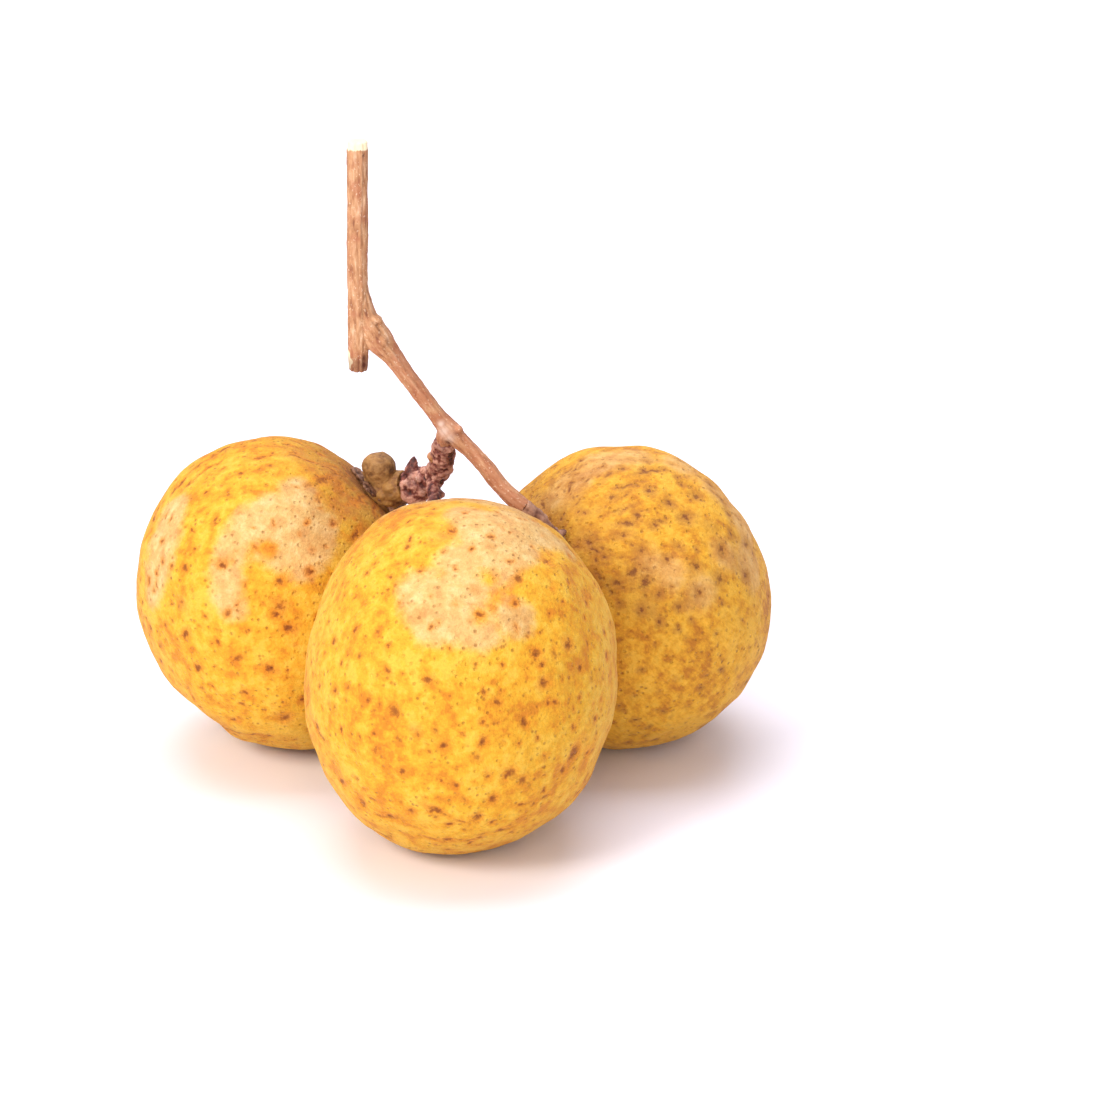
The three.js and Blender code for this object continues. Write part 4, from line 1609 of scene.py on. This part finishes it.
@dataclass
class ScalySpur:
    """The short dark shoot that carries the left and the front fruit, covered with dry bud scales.

    Its thin stalk runs to the front fruit, and its peg stands up. One of the buds is alive. Each
    scale has a tilt in radians, a share of its half sizes, a share of the radius that it rises to and
    a slip along the shoot, all within bounds. A point is proudest at that height over its limb.
    """

    shoot: Limb = Limb(
        (
            (-0.5, 5.75, 29.35, 0.72), (-0.65, 6.6, 28.2, 0.88), (-0.82, 7.8, 26.75, 0.94),
            (-1.12, 9.0, 25.35, 0.92), (-1.9, 10.0, 24.3, 1.02), (-2.85, 10.8, 23.45, 1.4),
            (-3.9, 11.3, 23.1, 1.3),
        ),
        (1.0, 0.3, 0.0),
    )
    stalk: Limb = Limb(
        ((-1.7, 9.6, 24.5, 0.6), (-1.5, 7.8, 24.1, 0.6), (-1.5, 5.0, 23.4, 0.5), (-1.48, 2.8, 23.12, 0.5)),
        (1.0, 0.0, 0.0),
    )
    peg: Limb = Limb(((-3.35, 10.8, 24.1, 0.95), (-3.42, 10.75, 24.95, 0.62), (-3.25, 10.65, 26.0, 0.13)))
    live_bud: Lump = Lump((-1.68, 7.4, 27.25), (0.42, 0.45, 0.45))
    dry_buds: Sequence[Lump] = (
        Lump((-1.45, 7.6, 24.05), (0.48, 0.7, 0.5)),
        Lump((-3.2, 10.1, 22.65), (1.2, 0.6, 0.8)),
        Lump((-1.0, 7.6, 23.75), (0.42, 0.5, 0.34), (0.0, 20.0, 0.0)),
    )
    scale_rows: int = 15
    scales_per_row: int = 8
    scale_half: Triple = (0.36, 0.32, 0.15)
    scale_tilt: tuple[float, float] = (0.1, 0.45)
    scale_size: tuple[float, float] = (0.75, 1.25)
    scale_rise: tuple[float, float] = (0.94, 1.04)
    scale_slip: tuple[float, float] = (-0.2, 0.2)
    proudest: float = 0.3
    bud_edge: tuple[float, float] = (0.62, 0.4)
    cell: float = 0.075

    def scales(self) -> list[Surface]:
        """Packs dry scales in rows round the shoot, each row turned by the golden angle from the last.

        A scale is a flat ball on the shoot's face. It leans outwards by a seeded angle, and its size
        and place are seeded too.

        Returns:
            The scales.
        """
        draw = np.random.default_rng(12)
        shape = ball(4)
        made = []
        rows = np.linspace(2, len(self.shoot.line) - 3, self.scale_rows).astype(int)
        for row, at in enumerate(rows):
            centre, radius = self.shoot.line[at, :3], self.shoot.line[at, 3]
            down = self.shoot.along[at]
            for k in range(self.scales_per_row):
                place = (k + draw.uniform(-0.25, 0.25)) / self.scales_per_row
                turn = GOLDEN_ANGLE * row + 2 * math.pi * place
                out = math.cos(turn) * self.shoot.across[at] + math.sin(turn) * self.shoot.over[at]
                tilt = draw.uniform(*self.scale_tilt)
                lean = unit(out * math.cos(tilt) - down * math.sin(tilt))
                along = unit(down * math.cos(tilt) + out * math.sin(tilt))
                basis = np.stack([np.cross(along, lean), along, lean])
                size = np.array(self.scale_half) * draw.uniform(*self.scale_size)
                rise = out * radius * draw.uniform(*self.scale_rise)
                middle = centre + rise + down * draw.uniform(*self.scale_slip)
                made.append(Surface(shape.points * size @ basis + middle, shape.faces))
        return made

    def build(self) -> None:
        """Grows the limbs, buds and scales together, roughens them, and notes how proud each point stands."""
        limbs = (self.shoot, self.stalk, self.peg)
        solids = (*limbs, self.live_bud, *self.dry_buds)
        skin, edges = grown_together([solid.surface() for solid in solids] + self.scales(), self.cell)
        skin.points = relaxed(skin.points, edges, 1)
        outward = outward_of(skin)
        rough = layered_noise(skin.points, 0.5, 21, 3)
        crumbs = lattice_noise(skin.points, 0.2, 22)
        skin.points = skin.points + outward * (0.08 * rough + 0.04 * crumbs)[:, None]
        nearest = [(limb, *limb.nearest(skin.points)) for limb in limbs]
        over = np.min([gap - limb.line[index, 3] for limb, index, gap in nearest], axis=0)
        proud = 0.17 + 0.5 * np.clip(over / self.proudest, 0, 1) + 0.25 * rough + 0.15 * crumbs
        piece = new_object("spur_bark", skin)
        store(piece, "proud", np.clip(proud, 0, 1))
        from_bud = np.linalg.norm(skin.points - self.live_bud.middle, axis=1)
        store(piece, "bud", 0.8 * smoothstep(*self.bud_edge, from_bud))
        fit(piece, "scaly_spur", SPUR_BARK.material())


# Stem ends


@dataclass
class StemEnd:
    """What joins a fruit to its twig: a stalk or neck, a fruitlet or a dry calyx of sepals.

    A calyx faces along the stalk and has a cushion, as wide as its reach and as high as its height.
    Its sepals go round it from the first angle, and each droops.
    """

    name: str
    node: str
    slot: str
    finish: Scurf
    limbs: Sequence[Limb] = ()
    lumps: Sequence[Lump] = ()
    facing: Triple | None = None
    middle: Triple = (0.0, 0.0, 0.0)
    reach: float = 0.0
    height: float = 0.0
    sepal_half: Triple = (0.0, 0.0, 0.0)
    first: float = 0.0
    rough: float = 0.05
    rough_pitch: float = 0.6
    count: int = 5
    droop: float = 14.0
    cell: float = 0.08

    def calyx(self) -> list[Surface]:
        """Sets sepals in a ring round a low cushion, and turns them to face along the stalk.

        Returns:
            The cushion and the sepals, or nothing for a piece that has no calyx.
        """
        if self.facing is None:
            return []
        turn = np.array(Vector((0, 0, 1)).rotation_difference(Vector(self.facing)).to_matrix())
        cushion = ball(12)
        made = [Surface(cushion.points * (self.reach, self.reach, self.height), cushion.faces)]
        for k in range(self.count):
            spin = turned((0.0, 0.0, self.first + 360 * k / self.count))
            sepal = ball(8)
            points = sepal.points * self.sepal_half @ turned((0.0, self.droop, 0.0)).T + (self.reach, 0, 0)
            made.append(Surface(points @ spin.T, sepal.faces))
        return [Surface(part.points @ turn.T + self.middle, part.faces) for part in made]

    def build(self) -> None:
        """Grows the parts together and roughens them."""
        parts = [part.surface() for part in (*self.limbs, *self.lumps)]
        skin, edges = grown_together(parts + self.calyx(), self.cell)
        skin.points = relaxed(skin.points, edges, 2)
        outward = outward_of(skin)
        rough = layered_noise(skin.points, self.rough_pitch, len(self.name), 3)
        skin.points = skin.points + outward * (self.rough * rough)[:, None]
        piece = new_object(self.name, skin)
        store(piece, "proud", np.clip(0.45 + 0.4 * rough, 0, 1))
        fit(piece, self.node, self.finish.material())


STEM_ENDS = (
    StemEnd(
        name="left_neck_skin", node="left_neck", slot="neck", finish=NECK_SKIN,
        limbs=(
            Limb((
                (-6.95, 12.9, 21.2, 1.95), (-6.2, 12.65, 21.95, 2.1), (-5.6, 12.3, 22.3, 1.95),
                (-4.9, 11.85, 22.6, 1.72), (-3.95, 11.35, 22.98, 1.4),
            )),
        ),
        rough=0.13, rough_pitch=0.7,
    ),
    StemEnd(
        name="fruitlet_skin", node="fruitlet", slot="fruitlet", finish=FRUITLET_SKIN,
        limbs=(Limb(((-6.25, 12.05, 24.2, 1.35), (-5.85, 12.2, 23.1, 1.4))),),
        lumps=(Lump((-6.3, 12.0, 24.48), (1.48, 1.4, 1.4), steps=14),),
        rough=0.06, rough_pitch=0.4,
    ),
    StemEnd(
        name="left_calyx_skin", node="left_calyx", slot="dry_calyx", finish=CALYX_SKIN,
        facing=LEFT.stalk, middle=(-6.44, 12.98, 21.82), reach=2.6, height=0.5,
        sepal_half=(0.65, 0.8, 0.24), first=100, rough=0.16, rough_pitch=0.45,
    ),
    StemEnd(
        name="right_calyx_skin", node="right_calyx", slot="dry_calyx", finish=TORN_BARK,
        limbs=(
            Limb((
                (6.2, 2.74, 24.45, 0.62), (7.33, 2.75, 23.5, 0.57), (8.1, 3.1, 22.4, 0.56),
                (9.2, 3.95, 20.8, 0.62),
            )),
        ),
        facing=RIGHT.stalk, middle=(8.9, 3.66, 21.2), reach=0.7, height=0.4,
        sepal_half=(0.5, 0.42, 0.24), first=20, rough=0.09,
    ),
    StemEnd(
        name="front_calyx_skin", node="front_calyx", slot="dry_calyx", finish=CALYX_SKIN,
        limbs=(
            Limb(
                ((-1.48, 2.9, 23.12, 0.53), (-1.35, 1.7, 22.9, 0.7), (-1.15, 0.1, 22.45, 1.15)),
                (1.0, 0.0, 0.0),
            ),
        ),
        facing=FRONT.stalk, middle=(-1.15, 0.7, 22.75), reach=1.3, height=0.45,
        sepal_half=(0.75, 0.6, 0.3), first=55,
    ),
)


# Studio


@dataclass(frozen=True)
class Lamp:
    """A soft box: its place, the side of its square, its power in watts and its colour."""

    name: str
    place: Triple
    side: float
    power: float
    colour: str


@dataclass(frozen=True)
class Studio:
    """A white table in soft light, as for a high-key picture."""

    table_side: float = 6000.0
    table_depth: float = 0.02
    table_colour: str = "#F2F3FC"
    table_tint: str = "#F4F5FE"
    table_clouds: Cloud = Cloud(80.0, 2.0, 0.5)
    sky_colour: str = "#F6F1F8"
    sky_strength: float = 0.58
    lit_spot: Triple = (0.0, 0.0, 15.0)
    lamps: Sequence[Lamp] = (
        Lamp("key", (-440.0, -420.0, 440.0), 300.0, 4.1, "#FFF6EC"),
        Lamp("front", (0.0, -760.0, 330.0), 420.0, 2.5, "#FFF8F0"),
        Lamp("top", (-20.0, 300.0, 880.0), 800.0, 8.4, "#F8F6FF"),
    )

    def build(self) -> None:
        """Makes the table, the lamps and the pale surroundings."""
        half = self.table_side / 2
        corners = np.array([(-half, -half, 0), (half, -half, 0), (half, half, 0), (-half, half, 0)], float)
        table = new_object("table", Surface(corners - (0, 0, self.table_depth), [np.arange(4)[None]]))
        coat = Coat("white_acrylic_table")
        haze = coat.add("ShaderNodeTexNoise", self.table_clouds.settings(), {"Vector": coat.places})
        ramp = coat.add("ShaderNodeValToRGB", None, {0: haze})
        set_ramp(ramp, ((0.3, self.table_colour), (0.7, self.table_tint)))
        coat.colour = ramp.outputs[0]
        # Polished acrylic gives a faint, soft reflection near the fruits.
        surface = {"Roughness": 0.22, "Specular IOR Level": 0.25}
        table.data.materials.append(coat.finish(surface, haze, 0.001))
        for lamp in self.lamps:
            self.hang(lamp)
        world = bpy.data.worlds.new("studio")
        world.use_nodes = True
        sky = world.node_tree.nodes["Background"]
        sky.inputs["Color"].default_value = linear(self.sky_colour)
        sky.inputs["Strength"].default_value = self.sky_strength
        bpy.context.scene.world = world
        bpy.context.scene.view_settings.view_transform = "Standard"

    def hang(self, lamp: Lamp) -> None:
        """Makes one soft box, which looks at the middle of the bunch.

        Args:
            lamp: Its place, size, power and colour.
        """
        light = bpy.data.lights.new(lamp.name, "AREA")
        light.size = lamp.side * MM
        light.energy = lamp.power
        light.color = linear(lamp.colour)[:3]
        holder = bpy.data.objects.new(lamp.name, light)
        place = Vector(lamp.place)
        holder.location = place * MM
        holder.rotation_mode = "QUATERNION"
        holder.rotation_quaternion = (Vector(self.lit_spot) - place).to_track_quat("-Z", "Y")
        bpy.context.scene.collection.objects.link(holder)


def main() -> None:
    """Builds the view, the studio and each piece of the bunch, in order."""
    logging.basicConfig(level=logging.INFO, format="%(message)s")
    view = Viewpoint()
    view.build()
    Studio().build()
    for fruit in (FRONT, LEFT, RIGHT):
        fruit.build(view)
    FruitingTwig().build(view)
    ScalySpur().build()
    for end in STEM_ENDS:
        end.build()


if __name__ == "__main__":
    main()
